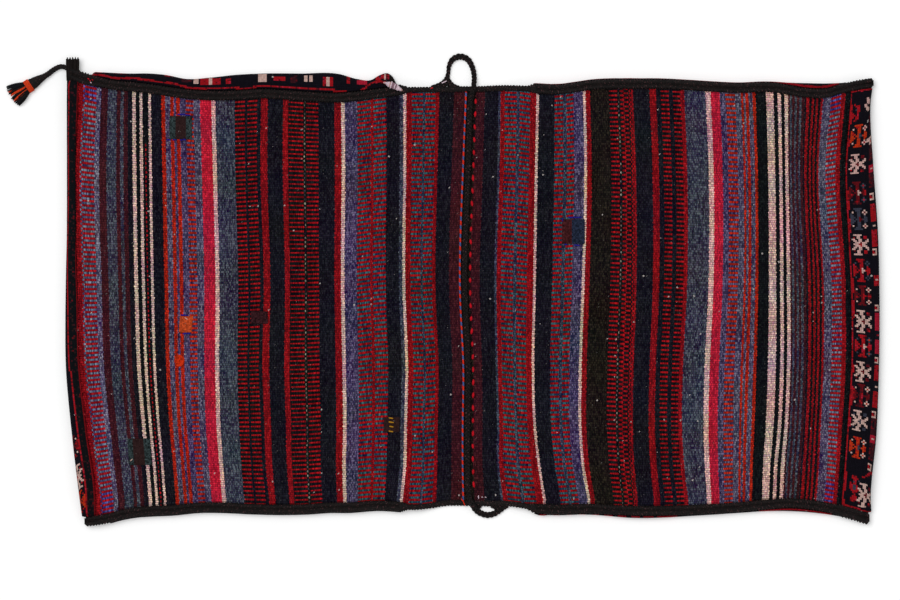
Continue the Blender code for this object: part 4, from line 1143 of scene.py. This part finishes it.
def finer_rows(columns):
    """Rows a knot apart, from the frame's few rows, softly curved between them."""
    spots = np.arange(ACROSS_KNOTS + 1)
    i = np.clip(np.searchsorted(ROW_PLACES, spots) - 1, 0, len(ROW_PLACES) - 2)
    span = (ROW_PLACES[i + 1] - ROW_PLACES[i])[:, None]
    t = (spots - ROW_PLACES[i])[:, None] / span
    slopes = np.gradient(columns, ROW_PLACES, axis=1) * 0.85
    return hermite(t, span, columns[:, i], columns[:, i + 1], slopes[:, i], slopes[:, i + 1])


def paint(grid, i, j, figure, turned=False):
    """Knots a figure, a chart and its yarns, into a grid with its first column at i and its
    middle row at j, or turned, with its middle row at column i and its first column at row j."""
    chart, *yarns = figure
    dyes = dict(zip("#roh", yarns))
    for r, row in enumerate(chart):
        for c, mark in enumerate(row):
            step = r - len(chart) // 2
            a, b = (i + step, j + c if j >= 0 else j - c) if turned else (i + c, j + step)
            if mark != "." and abs(a) < grid.shape[0] and abs(b) < grid.shape[1]:
                grid[a, b] = dyes[mark]


def hidden_border(grid, first):
    """Border of the face that lies underneath: figures and guard blocks between red lines.
    Its numbers count knots, inwards from the seams or on from the first hidden column."""
    figures = itertools.cycle(FOOT_FIGURES)
    guards = itertools.cycle(("maroon", "scarlet"))
    for side in (1, -1):
        def rows(start, stop):
            start, stop = SIDE_KNOTS + start, SIDE_KNOTS + stop
            return slice(start, stop) if side > 0 else slice(-stop, -start)

        grid[first:, rows(-2, 0)] = "scarlet"
        grid[first + 18:, rows(16, 18)] = "scarlet"
        for i in range(first + 26, grid.shape[0] - 8, FIGURE_SPACE):
            paint(grid, i, side * (SIDE_KNOTS + 1), next(figures)[1:], turned=True)
            grid[i - 5:i + 5, rows(12, 15)] = next(guards)
    for j in range(SIDE_KNOTS + 22, grid.shape[1] - SIDE_KNOTS - 18, FIGURE_SPACE):
        paint(grid, first + 2, j, next(figures)[1:])
        grid[first + 13:first + 16, j - 5:j + 5] = next(guards)
    grid[first + 17:first + 19, SIDE_KNOTS + 17:-SIDE_KNOTS - 17] = "scarlet"
    grid[-3:-1, SIDE_KNOTS:-SIDE_KNOTS] = "scarlet"


def row_at(points, i, y):
    """Row of the knot nearest to a height in column i."""
    return int(np.argmin(np.abs(points[i, :, 1] - y)))


def within(x, y, box):
    """Which knots lie in a box, given as two opposite corners."""
    x0, y0, x1, y1 = box
    return (x > x0) & (x < x1) & (y > y0) & (y < y1)


def right_foot_yarns(grid, points, x, y):
    """The border that comes up over the right foot."""
    grid[0, :] = "scarlet"
    j = np.arange(grid.shape[1])
    grid[1, np.sin(j * 0.37) + np.sin(j * 0.11) > 0.3] = "scarlet"
    for height, *figure in FOOT_FIGURES:
        paint(grid, 2, row_at(points, 7, height), figure)
    for low, high, yarn in FOOT_BLOCKS:
        grid[GUARD, row_at(points, GUARD.start, low):row_at(points, GUARD.start, high)] = yarn
    for height, ground, dot in FOOT_DOTS:
        j = row_at(points, GUARD.start, height)
        grid[GUARD, j - 2:j + 3] = ground
        grid[15:17, j] = dot
    for height in FOOT_HOOKS:
        paint(grid, GUARD.start, row_at(points, GUARD.start, height), HOOK)
    for column, middle, height, *figure in CORNER_FIGURES:
        paint(grid, column, row_at(points, middle, height), figure)
    band = slice(0, 24)
    for *box, yarn in CORNER_MARKS:
        grid[band][within(x[band], y[band], box)] = yarn
    off_line = [np.abs(cloth_edge(x, side) - side * inset - y)[band] for side, inset in RED_LINES]
    grid[band][np.minimum(*off_line) < 1.2] = "scarlet"


def left_foot_yarns(grid, points):
    """The narrow border that comes up over the left foot."""
    grid[0, :] = "red"
    grid[1:6, :] = "black"
    stray = RNG.random((4, grid.shape[1]))
    grid[1:5][stray > 0.90] = "maroon"
    grid[1:5][stray < 0.06] = "brown"
    lower = points[5, :-1, 1] < -120
    grid[6, ~lower] = "scarlet"
    grid[5, lower] = "scarlet"
    for height, *figure in LEFT_FIGURES:
        paint(grid, 6, row_at(points, 7, height), figure)


def knot_yarns(end, points):
    """The yarn of every knot of a pile face."""
    grid = np.full((points.shape[0] - 1, points.shape[1] - 1), "ground", dtype=YARN_NAME)
    middle = (points[:-1, :-1] + points[1:, :-1] + points[:-1, 1:] + points[1:, 1:]) / 4
    x, y = middle[..., 0], middle[..., 1]
    hidden_border(grid, SHOWN_KNOTS[end] + 13)
    outside = y > seam_line(x, 1) + edge_half(x)
    if end > 0:
        right_foot_yarns(grid, points, x, y)
        grid[outside & (np.abs(y - seam_line(x, 1) - 10.0) < 1.6) & (x < 538)] = "scarlet"
        # The line below the lower seam is whole near the foot and rubbed away towards the mouth
        below = seam_line(x, -1) - edge_half(x) - y
        shown = ((x > 421) & (x < 528)) | ((x > 89) & (x < 300) & (np.sin(x / 3.1) > 0.9 - x / 150))
        grid[(np.abs(below - 1.2) < 1.8) & shown] = "scarlet"
        return grid
    left_foot_yarns(grid, points)
    grid[outside] = "ground"
    for *box, yarn in WRAP_BOXES:
        grid[outside & within(x, y, box)] = yarn
    grid[outside & (np.abs(y - soft(x, WRAP_LINE)) < 1.5) & (x < -129)] = "scarlet"
    return grid


def stray_knots(grid):
    """The figures with a few of their knots tied in a neighbouring yarn."""
    luck = RNG.random(grid.shape)
    tied = grid.copy()
    for yarn, *others in STRAY_YARNS:
        tied[(grid == yarn) & (luck < 0.12)] = others[0]
        tied[(grid == yarn) & (luck > 0.91)] = others[1]
    return tied


def knot_pile(end, name):
    """One pile face with its border, from the kilim's end round the foot to the mouth."""
    outer, inner = pile_columns(end)
    grid = stray_knots(knot_yarns(end, outer))
    tufts = RNG.normal(0, 0.16, outer.shape[:2])
    tufts[:, 0] = tufts[:, -1] = 0
    outer[..., 2] = np.maximum(outer[..., 2] + np.where(outer[..., 2] > 2.0, tufts, 0.0), 0.0)
    along = np.arange(len(outer))
    # The left face runs the other way, and its columns are turned round so that it faces out
    outer, inner, grid, along = (layer[::end] for layer in (outer, inner, grid, along))
    verts, faces = slab(outer, inner, ROW_PLACES / ROW_PLACES[-1])
    names = np.concatenate([grid.ravel(), ["ground"] * (len(faces) - grid.size)])
    place = KNOT * np.concatenate([pairs(along[:, None], rows)
                                   for rows in (np.arange(ACROSS_KNOTS + 1), ROW_PLACES)])
    face = piece(name, verts, faces, knotted_cut_pile_wool,
                 ["bag_cloth"], names, place)


# Seams, selvedges and braid

def finer_section(section, count):
    """Evenly spaced points round a section."""
    points = np.array(list(section) + [section[0]])
    runs = lengths(points)
    at = np.linspace(0, runs[-1], count, endpoint=False)
    return np.stack([np.interp(at, runs, points[:, k]) for k in (0, 1)], axis=1)


def overcast(name, path, sizes, section, weave):
    """A seam or selvedge wrapped round and round with goat-hair yarn."""
    path, sizes = np.array(path), np.array(sizes)
    width, height = (sizes / 2).T[..., None]
    shape = finer_section(section, SECTION_POINTS)
    runs = lengths(path[:, :2])
    lateral = shape[:, 0] * width
    lean = runs[:, None] + WRAP_LEAN * lateral + 0.8 * np.sin(runs / 23)[:, None]
    wave = np.abs(np.sin(np.pi * lean / (weave.wrap / MM))) - WRAP_MIDDLE
    ridge = wave + WRAP_UNEVEN * np.sin(lean * 1.9 + 1.0) + RNG.normal(0, WRAP_UNEVEN, lean.shape)
    taper = np.sqrt(np.clip(np.minimum(runs, runs[-1] - runs) / END_TAPER, 0.35, 1.0))
    grow = taper[:, None] * (1 + ridge / height)
    points = np.zeros((len(path), len(shape), 3)) + path[:, None]
    points[..., 1] += lateral * np.minimum(grow, WIDEST)
    points[..., 2] += shape[:, 1] * height * grow
    points[..., 2] = np.maximum(points[..., 2], 0.05)
    verts, faces = rings(points)
    place = pairs(np.arange(len(shape)) * 1.6, lean)
    piece(name, verts, faces, spun_goat_hair, [name], weave=place)


def pouch_seam(name, side, end, weave):
    """The double rope of goat hair that closes one side of a pouch."""
    corner = (UPPER_SEAM if side > 0 else LOWER_SEAM)[0 if end < 0 else -1][0]
    path, sizes = [], []
    for x in spread(LEFT_MOUTH if end < 0 else RIGHT_MOUTH, corner + end * SEAM_TAIL, SEAM_STEP):
        y = seam_line(x, side)
        to_foot = end * (foot_line(y, end) - x)
        foot = mix(1.0, SEAM_FOOT, ease((to_foot - 4.0) / (CORNER_DROP - 4.0)))
        height = SEAM_FOOT + SEAM_HEIGHT - foot
        swell = 1 + CORNER_SWELL * (ease((-545 - x) / 30) if side > 0 else ease((x - 520) / 30))
        path.append((x, y, foot + height / 2))
        sizes.append((2 * edge_half(x) * swell, height))
    overcast(name, path, sizes, SEAM_SECTION, weave)


def bridge_selvedge(name, side, weave):
    """The single overcast edge of the bridge, down from one pouch and up to the other."""
    on_pouch = SEAM_FOOT + SEAM_HEIGHT / 2
    on_ground = SELVEDGE_HEIGHT / 2 + 0.15
    path, sizes = [], []
    for x in spread(LEFT_MOUTH - SELVEDGE_LAP, RIGHT_MOUTH + SELVEDGE_LAP, SEAM_STEP):
        path.append((x, seam_line(x, side), mix(on_ground, on_pouch, pouch_share(x))))
        sizes.append((2 * edge_half(x), SELVEDGE_HEIGHT))
    overcast(name, path, sizes, ROUND_SECTION, weave)


def soft_path(points, step):
    """A run through given points, smooth in plan, read off every step."""
    pts = np.array(points, dtype=float)
    runs = lengths(pts)
    at = np.array(spread(0.0, runs[-1], step))
    plan = [soft(at, list(zip(runs, pts[:, axis]))) for axis in (0, 1)]
    rest = [np.interp(at, runs, pts[:, axis]) for axis in range(2, pts.shape[1])]
    return np.stack(plan + rest, axis=1)


def plait(points, repeat):
    """Strands braided flat along a run of points with their shares of the full width: tubes
    that cross over and under in turn. Gives a mesh and its places in the weave."""
    route = soft_path(points, BRAID_STEP)
    path, share = route[:, :3], route[:, 3]
    widths, heights = BRAID_WIDTH * share, BRAID_HEIGHT * mix(1.0, share, 0.6)
    runs = lengths(path)
    ahead = np.gradient(path, axis=0)
    side = np.stack([-ahead[:, 1], ahead[:, 0], np.zeros(len(path))], axis=1)
    side /= np.linalg.norm(side, axis=1)[:, None]
    radii = np.minimum(widths * STRAND_WIDTH, heights * STRAND_HEIGHT)
    parts = []
    for k in range(BRAID_STRANDS):
        phase = 2 * np.pi * (runs / repeat + k / BRAID_STRANDS)
        line = path + side * (widths * SWAY * np.sin(phase))[:, None]
        line[:, 2] = np.maximum(line[:, 2] + heights * RISE * np.sin(2 * phase), radii + 0.1)
        parts.append(tube(line, radii, BRAID_SIDES))
    verts, faces, _ = join(parts)
    place = np.concatenate([pairs(np.arange(BRAID_SIDES) * 1.2 + 31 * k, runs[:, None])
                            for k in range(BRAID_STRANDS)])
    return verts, faces, place


def sew_braid(weave):
    """The goat-hair braid across the bridge, whose ends stand out as loops."""
    ends = (back_edge(BRAID_STATION, side)[1] - side * 15 for side in (1, -1))
    straight = [(BRAID_STATION + drift(BRAID_STATION, y), y, BRAID_ON_CLOTH, 1.08)
                for y in spread(*ends, 40.0)]
    plaits = [plait(run, weave.braid / MM)
              for run in ((*UPPER_LOOP, *straight, *LOWER_LOOP), *LOOP_TAILS)]
    verts, faces, _ = join([run[:2] for run in plaits])
    place = np.concatenate([run[2] for run in plaits])
    piece("sewn_braid", verts, faces, spun_goat_hair, ["centre_braid"], weave=place)


# Threads and darns

def threads(name, runs, yarns, nodes, sides=6):
    """Many short threads as one piece. Each run is a path and its radii."""
    verts, faces, owner = join([tube(path, radii, sides) for path, radii in runs])
    place = np.concatenate([
        pairs(np.arange(sides) * 0.8 + 7 * k, np.arange(len(path))[:, None] * 1.5)
        for k, (path, _) in enumerate(runs)])
    return piece(name, verts, faces, plied_dyed_wool, nodes, np.array(yarns)[owner], place)


def twined_line():
    """Red and blue threads twined round each other beside the braid."""
    y = np.arange(back_edge(TWINE_STATION, -1)[1] + 1, back_edge(TWINE_STATION, 1)[1] - 1, 1.2)
    x = TWINE_STATION + drift(TWINE_STATION, y)
    runs = []
    for turn, radius in zip((0.0, np.pi), TWINE_RADII):
        phase = 2 * np.pi * (y + 2.5 * np.sin(y / 41)) / TWINE_REPEAT + turn
        z = cloth_top(x, y) + THREAD_LIFT + 1.2 * np.sin(phase)
        runs.append((np.stack([x + 0.15 * np.cos(phase), y, z], axis=1), radius))
    threads("twined_line", runs, ["coral", "royal"], ["centre_twine"])


def running_stitches(weave):
    """Red stitches that run down beside the braid."""
    runs = []
    for y in np.arange(-STITCH_REACH, STITCH_REACH, weave.stitch / MM):
        lean = RNG.uniform(-0.7, 0.7)
        half = RNG.uniform(*STITCH_HALF)
        x = STITCH_STATION + drift(STITCH_STATION, y)
        z = float(cloth_top(x, y)) + THREAD_LIFT
        path = [(x + lean * t, y + half * t, z - 1.5 * t * t) for t in np.linspace(-1, 1, 7)]
        runs.append((path, STITCH_RADII))
    threads("running_stitches", runs, ["vivid"] * len(runs), [])


def mouth_whipping():
    """Pale thread whipped over the upper corner of the left mouth."""
    places, heights, reaches = zip(*WHIPPING)
    top = SEAM_FOOT + SEAM_HEIGHT + 1.6
    runs = []
    for x in np.linspace(-131, -105.2, WHIPPING_TURNS):
        y = np.interp(x, places, heights)
        reach = np.interp(x, places, reaches) * RNG.uniform(0.85, 1.15)
        path = [(x + 0.3 * reach * t, y + reach * t, top - 1.6 * t * t)
                for t in np.linspace(-1, 1, 9)]
        runs.append((path, 1.05))
    yarns = ["faded" if k in RUBBED_TURNS else ("pale" if k % 5 else "rose")
             for k in range(WHIPPING_TURNS)]
    threads("mouth_whipping_thread", runs, yarns, ["mouth_whipping"])


def darn_patch(name, fields, right, low, high, lean, slot):
    """A mend woven over and under across a worn place. fields are the places along the bag
    where each of its yarns starts."""
    left = fields[0][0]
    xs, ys = (np.array(spread(*ends, 0.8)) for ends in ((left, right), (low, high)))
    x, y = np.meshgrid(xs, ys, indexing="ij")
    u, v = (x - left) / (right - left) * 2 - 1, (y - low) / (high - low) * 2 - 1
    if name.startswith("round"):
        x = (left + right) / 2 + u * np.sqrt(1 - v * v / 2) * (right - left) / 2
        y = (low + high) / 2 + v * np.sqrt(1 - u * u / 2) * (high - low) / 2
    frayed = 0.45 * np.sin(y * 2.1 + left) + 0.3 * np.sin(y * 5.3)
    x = x + lean * (high - y) / (high - low) + frayed * np.abs((x - left) / (right - left) * 2 - 1)
    y = y + 0.4 * np.sin(x * 2.3 + low) * np.abs((y - low) / (high - low) * 2 - 1)
    edge = np.minimum(np.minimum(x - x.min(), x.max() - x), np.minimum(y - low, high - y))
    swell = np.clip(edge / DARN_EDGE, 0, 1)
    cross = np.sin(np.pi * x / DARN_YARN) * np.sin(np.pi * y / DARN_YARN)
    base = cloth_top(x, y)
    outer = np.stack([x, y, base + DARN_LIFT * (1 + swell) + DARN_RELIEF * cross], axis=-1)
    inner = np.stack([x, y, base + 0.2], axis=-1)
    verts, faces = slab(outer, inner)
    starts, colours = zip(*fields)
    owner = np.searchsorted(starts, (xs[:-1] + xs[1:]) / 2) - 1
    yarns = np.repeat(np.array(colours)[owner], len(ys) - 1)
    names = np.concatenate([yarns, [colours[0]] * (len(faces) - len(yarns))])
    place = np.concatenate([np.stack([y, x], axis=-1).reshape(-1, 2)] * 2)
    piece(name + "_wool", verts, faces, hand_darned_wool, [name], names, place)


def sewing_threads():
    """Sewing thread left round the darns, and short ends caught in the cloth."""
    runs, yarns = [], []
    steps = np.linspace(0, 1, 7)
    for yarn, radius, lift, *group in LOOSE_THREADS:
        for x0, y0, x1, y1, *height in group:
            x, y = mix(x0, x1, steps), mix(y0, y1, steps)
            z = (height[0] if height else cloth_top(x, y)) + lift + 0.5 * np.sin(np.pi * steps)
            runs.append((np.stack([x, y, z], axis=1), radius))
            yarns.append(yarn)
    threads("sewing_threads", runs, yarns, [])


# Tassel and tuft

def tassel_cord():
    """Braided goat-hair cord that leaves the upper left corner."""
    path = soft_path(TASSEL_CORD_ROUTE, CORD_STEP)
    turns = full_turn(20)
    runs = np.arange(len(path))[:, None] * CORD_STEP
    chevron = np.abs(turns / np.pi % 1.0 - 0.5) * CHEVRON
    ridge = np.abs(np.sin(np.pi * (runs + chevron) / PLAIT))
    swell = np.interp(runs / runs[-1], (0, 0.3, 1), (1.2, 1.05, 1.25))
    radius = TASSEL_CORD_DIAMETER / 2 * (0.88 + 0.14 * ridge) * swell
    points = path[:, None] + radius[..., None] * around(path, turns)
    points[..., 2] = np.maximum(points[..., 2], 0.1)
    verts, faces = rings(points)
    cord = piece("braided_tassel_cord", verts, faces, spun_goat_hair, ["tassel_cord"],
                 weave=pairs(turns * 3.5, runs + chevron))
    line = soft_path(TASSEL_CORD_ROUTE, 2.5)
    return cord, line, float(lengths(line)[-1]) * MM


def tassel_head(start, aim, side):
    """The bound head, ribbed by the yarns under its binding."""
    at = np.linspace(-1.5, 24.5, 30)[:, None]
    turns = full_turn(32)
    places, widths, heights = zip(*HEAD_SIZES)
    width = np.interp(at, places, widths) / 2
    height = np.interp(at, places, heights) / 2
    groove = 1 + 0.06 * np.cos(turns * HEAD_RIBS + at * 0.35)
    points = (start + aim * at)[:, None] + groove[..., None] * (
        (np.cos(turns) * width)[..., None] * side + (np.sin(turns) * height)[..., None] * UP)
    points[..., 2] = np.maximum(points[..., 2], 0.1)
    verts, faces = rings(points)
    return piece("bound_tassel_head", verts, faces, spun_goat_hair, ["tassel_head"],
                 weave=pairs(turns * 8, at))


def tassel_wrapping(start, aim, side):
    """Red wool wound round below the head."""
    turns = np.linspace(0, 2 * np.pi, 25)[:, None]
    loops = [(start + aim * (WRAP_START + WRAP_TURN * k + 0.2 * turns) +
              side * 9.3 * np.cos(turns) + UP * 4.1 * np.sin(turns), 0.85)
             for k in range(WRAP_TURNS)]
    loops.append((start + aim * np.linspace(WRAP_START, 30.2, 4)[:, None], 4.1))
    yarns = ["orange_hair"] * len(loops)
    return threads("tassel_wrapping", loops, yarns, ["tassel_wrap"])


def tassel_strands(start, aim, side, count):
    """Loose strands that spread from the wrapping, black ones and a few streaks of orange."""
    strands, yarns = [], []
    t = np.linspace(0, 1, 8)
    for k in range(count):
        u = RNG.uniform(-1, 1)
        v = RNG.uniform(-1, 1) * math.sqrt(1 - u * u * 0.8)
        reach = STRAND_LENGTH * (1 - 0.13 * u * u) * RNG.uniform(0.84, 1.0)
        bend = RNG.uniform(-1.6, 1.6)
        out = mix(*STRAND_SPREAD, t) * u + bend * np.sin(np.pi * t)
        path = start + aim * (30.6 + t * reach)[:, None] + side * out[:, None]
        path[:, 2] = np.maximum(5.0 + mix(3.4, 2.4, t) * v - 0.8 * t, 1.35)
        strands.append((path, np.interp(t, (0, 0.8, 1), (1.15, 1.0, 0.45))))
        bright = min(abs(u - streak) for streak in STREAKS) < 0.07 and v > -0.2
        yarns.append("orange_hair" if bright else ("black" if k % 3 else "goat"))
    return threads("tassel_strands", strands, yarns, ["tassel_skirt"], 5)


def corner_tuft():
    """Cut ends of the seam's goat hair, standing out in a short brush."""
    runs = []
    t = np.linspace(0, 1, 6)
    for u in (2 * np.arange(TUFT_HAIRS) + 1) / TUFT_HAIRS - 1:
        reach = 19.0 + 16.5 * (1 - 0.22 * abs(math.sin(u * 7.5))) * RNG.uniform(0.9, 1.0)
        z = np.full(6, 9.0 + RNG.uniform(-3.2, 3.2))
        x = TUFT_ROOT[0] + mix(*TUFT_SPREAD, t) * u
        path = np.stack([x, TUFT_ROOT[1] + reach * t, z], axis=1)
        runs.append((path, np.interp(t, (0, 0.85, 1), (1.1, 0.95, 0.6))))
    threads("corner_hair_tuft", runs, ["goat"] * TUFT_HAIRS, ["corner_tuft"], 5)


# Stage

def seen_rays(tree):
    """1 for rays that come from the camera or from a mirror or glass."""
    path = add(tree, "LightPath").outputs
    indirect = add(tree, "Math MAXIMUM", path["Is Glossy Ray"], path["Is Transmission Ray"])
    return add(tree, "Math MAXIMUM", path["Is Camera Ray"], indirect)


def paper_floor():
    """White paper sweep. It takes the bag's soft shadow and shows white to the camera."""
    material, tree = begin("white_paper_sweep")
    uneven = noise(tree, add(tree, "TexCoord").outputs["Object"], 90.0)
    tone = total(tree, 0.86, (uneven, 0.01))
    for socket, value in (("Base Color", add(tree, "CombineColor", tone, tone, tone)),
                          ("Roughness", 1.0), ("Specular IOR Level", 0.0),
                          ("Emission Color", (1, 1, 1, 1)),
                          ("Emission Strength", total(tree, 0.0, (seen_rays(tree), 0.2)))):
        feed(tree, tree.nodes["Principled BSDF"].inputs[socket], value)
    return material


def lay_floor():
    """A pale floor that ends far outside the picture."""
    mesh = bpy.data.meshes.new("floor")
    mesh.from_pydata([(-6, -6, 0), (6, -6, 0), (6, 6, 0), (-6, 6, 0)], [], [(0, 1, 2, 3)])
    mesh.materials.append(paper_floor())
    floor = bpy.data.objects.new("floor", mesh)
    bpy.context.scene.collection.objects.link(floor)


def light_sky(scene, strength):
    """Even light from all sides, which itself shows white."""
    scene.world = bpy.data.worlds.new("even_sky")
    scene.world.use_nodes = True
    tree = scene.world.node_tree
    tree.nodes.clear()
    even, white = (add(tree, "Background", (1, 1, 1, 1), power) for power in (strength, 1.0))
    add(tree, "OutputWorld", add(tree, "MixShader", seen_rays(tree), even, white))


# Operators

class SADDLEBAG_OT_kilim(Operator):
    """Weave the two backs and the bridge in stripes"""

    bl_idname = "saddle_bag.kilim"
    bl_label = "Weave Kilim"

    def execute(self, context):
        weave_kilim(context.scene.saddle_bag_weave)
        return {"FINISHED"}


class SADDLEBAG_OT_pile(Operator):
    """Knot the two pile faces with their borders"""

    bl_idname = "saddle_bag.pile"
    bl_label = "Knot Pile Faces"

    def execute(self, context):
        knot_pile(-1, "left_pile_face")
        knot_pile(1, "right_pile_face")
        return {"FINISHED"}


class SADDLEBAG_OT_seams(Operator):
    """Overcast the four pouch seams and the two selvedges of the bridge"""

    bl_idname = "saddle_bag.seams"
    bl_label = "Overcast Seams"

    def execute(self, context):
        weave = context.scene.saddle_bag_weave
        for end, pouch in ((-1, "left"), (1, "right")):
            pouch_seam(f"{pouch}_pouch_upper_seam", 1, end, weave)
            pouch_seam(f"{pouch}_pouch_lower_seam", -1, end, weave)
        bridge_selvedge("bridge_upper_selvedge", 1, weave)
        bridge_selvedge("bridge_lower_selvedge", -1, weave)
        return {"FINISHED"}


class SADDLEBAG_OT_braid(Operator):
    """Sew the braid across the bridge with its two loops"""

    bl_idname = "saddle_bag.braid"
    bl_label = "Sew Braid"

    def execute(self, context):
        sew_braid(context.scene.saddle_bag_weave)
        return {"FINISHED"}


class SADDLEBAG_OT_threads(Operator):
    """Twine, stitch and whip the coloured threads"""

    bl_idname = "saddle_bag.threads"
    bl_label = "Stitch Threads"

    def execute(self, context):
        twined_line()
        running_stitches(context.scene.saddle_bag_weave)
        mouth_whipping()
        return {"FINISHED"}


class SADDLEBAG_OT_darns(Operator):
    """Darn the worn places and leave their sewing threads"""

    bl_idname = "saddle_bag.darns"
    bl_label = "Darn"

    def execute(self, context):
        slots = {s["node"]: s["material_slot"] for s in frame["record"]["subparts"]}
        for name, darn in DARNS.items():
            darn_patch(name, *darn, slots[name])
        sewing_threads()
        return {"FINISHED"}


class SADDLEBAG_OT_tassel(Operator):
    """Make the corner tuft, the braided cord and its tassel"""

    bl_idname = "saddle_bag.tassel"
    bl_label = "Make Tassel"

    def execute(self, context):
        corner_tuft()
        cord, line, length = tassel_cord()
        aim = np.array((math.cos(TASSEL_AIM), math.sin(TASSEL_AIM), 0.0))
        side = np.array((-aim[1], aim[0], 0.0))
        place = (np.array(TASSEL_START) + aim * CLEARANCE, aim, side)
        parts = [tassel_head(*place), tassel_wrapping(*place),
                 tassel_strands(*place, context.scene.saddle_bag_weave.strands)]
        return {"FINISHED"}


class SADDLEBAG_OT_stage(Operator):
    """Set the pale floor, the soft light and the overhead camera"""

    bl_idname = "saddle_bag.stage"
    bl_label = "Set Stage"

    def execute(self, context):
        scene, stage = context.scene, context.scene.saddle_bag_stage
        lay_floor()
        light_sky(scene, stage.sky)
        lamp = bpy.data.lights.new("key", "SUN")
        lamp.energy = stage.key
        lamp.angle = math.radians(40)
        lens = bpy.data.cameras.new("overhead")
        lens.sensor_width = 36.0
        pixel = MM_A_PIXEL * MM
        lens.lens = lens.sensor_width * stage.height / (PICTURE[0] * pixel)
        lens.clip_end = 100.0
        key, camera = (bpy.data.objects.new(thing.name, thing) for thing in (lamp, lens))
        key.rotation_euler = (math.radians(-16), math.radians(-20), 0)
        right, down = (size / 2 - origin for size, origin in zip(PICTURE, ORIGIN_PIXEL))
        camera.location = (right * pixel, -down * pixel, stage.height + TOP * MM)
        for thing in (key, camera):
            scene.collection.objects.link(thing)
        scene.camera = camera
        scene.view_settings.view_transform = "Standard"
        return {"FINISHED"}


STEPS = (SADDLEBAG_OT_stage, SADDLEBAG_OT_tassel, SADDLEBAG_OT_kilim, SADDLEBAG_OT_pile,
         SADDLEBAG_OT_seams, SADDLEBAG_OT_braid, SADDLEBAG_OT_threads, SADDLEBAG_OT_darns)


class SADDLEBAG_PT_panel(Panel):
    """Steps and values of the saddle bag"""

    bl_idname = "SADDLEBAG_PT_panel"
    bl_label = "Double Saddle Bag"
    bl_space_type = "VIEW_3D"
    bl_region_type = "UI"
    bl_category = "Saddle Bag"

    def draw(self, context):
        for step in STEPS:
            self.layout.operator(step.bl_idname)
        for group in GROUPS:
            values = getattr(context.scene, group)
            box = self.layout.box()
            for name in values.__annotations__:
                box.prop(values, name)


GROUPS = {"saddle_bag_weave": SaddleBagWeave, "saddle_bag_stage": SaddleBagStage,
          "saddle_bag_dyes": SaddleBagDyes}
CLASSES = (*GROUPS.values(), *STEPS, SADDLEBAG_PT_panel)


def register():
    for item in CLASSES:
        bpy.utils.register_class(item)
    for name, group in GROUPS.items():
        setattr(bpy.types.Scene, name, PointerProperty(type=group))


def unregister():
    for name in GROUPS:
        delattr(bpy.types.Scene, name)
    for item in reversed(CLASSES):
        bpy.utils.unregister_class(item)


def main():
    register()
    bpy.ops.saddle_bag.stage()
    bpy.ops.saddle_bag.tassel()
    bpy.ops.saddle_bag.kilim()
    bpy.ops.saddle_bag.pile()
    bpy.ops.saddle_bag.seams()
    bpy.ops.saddle_bag.braid()
    bpy.ops.saddle_bag.threads()
    bpy.ops.saddle_bag.darns()


if __name__ == "__main__":
    main()
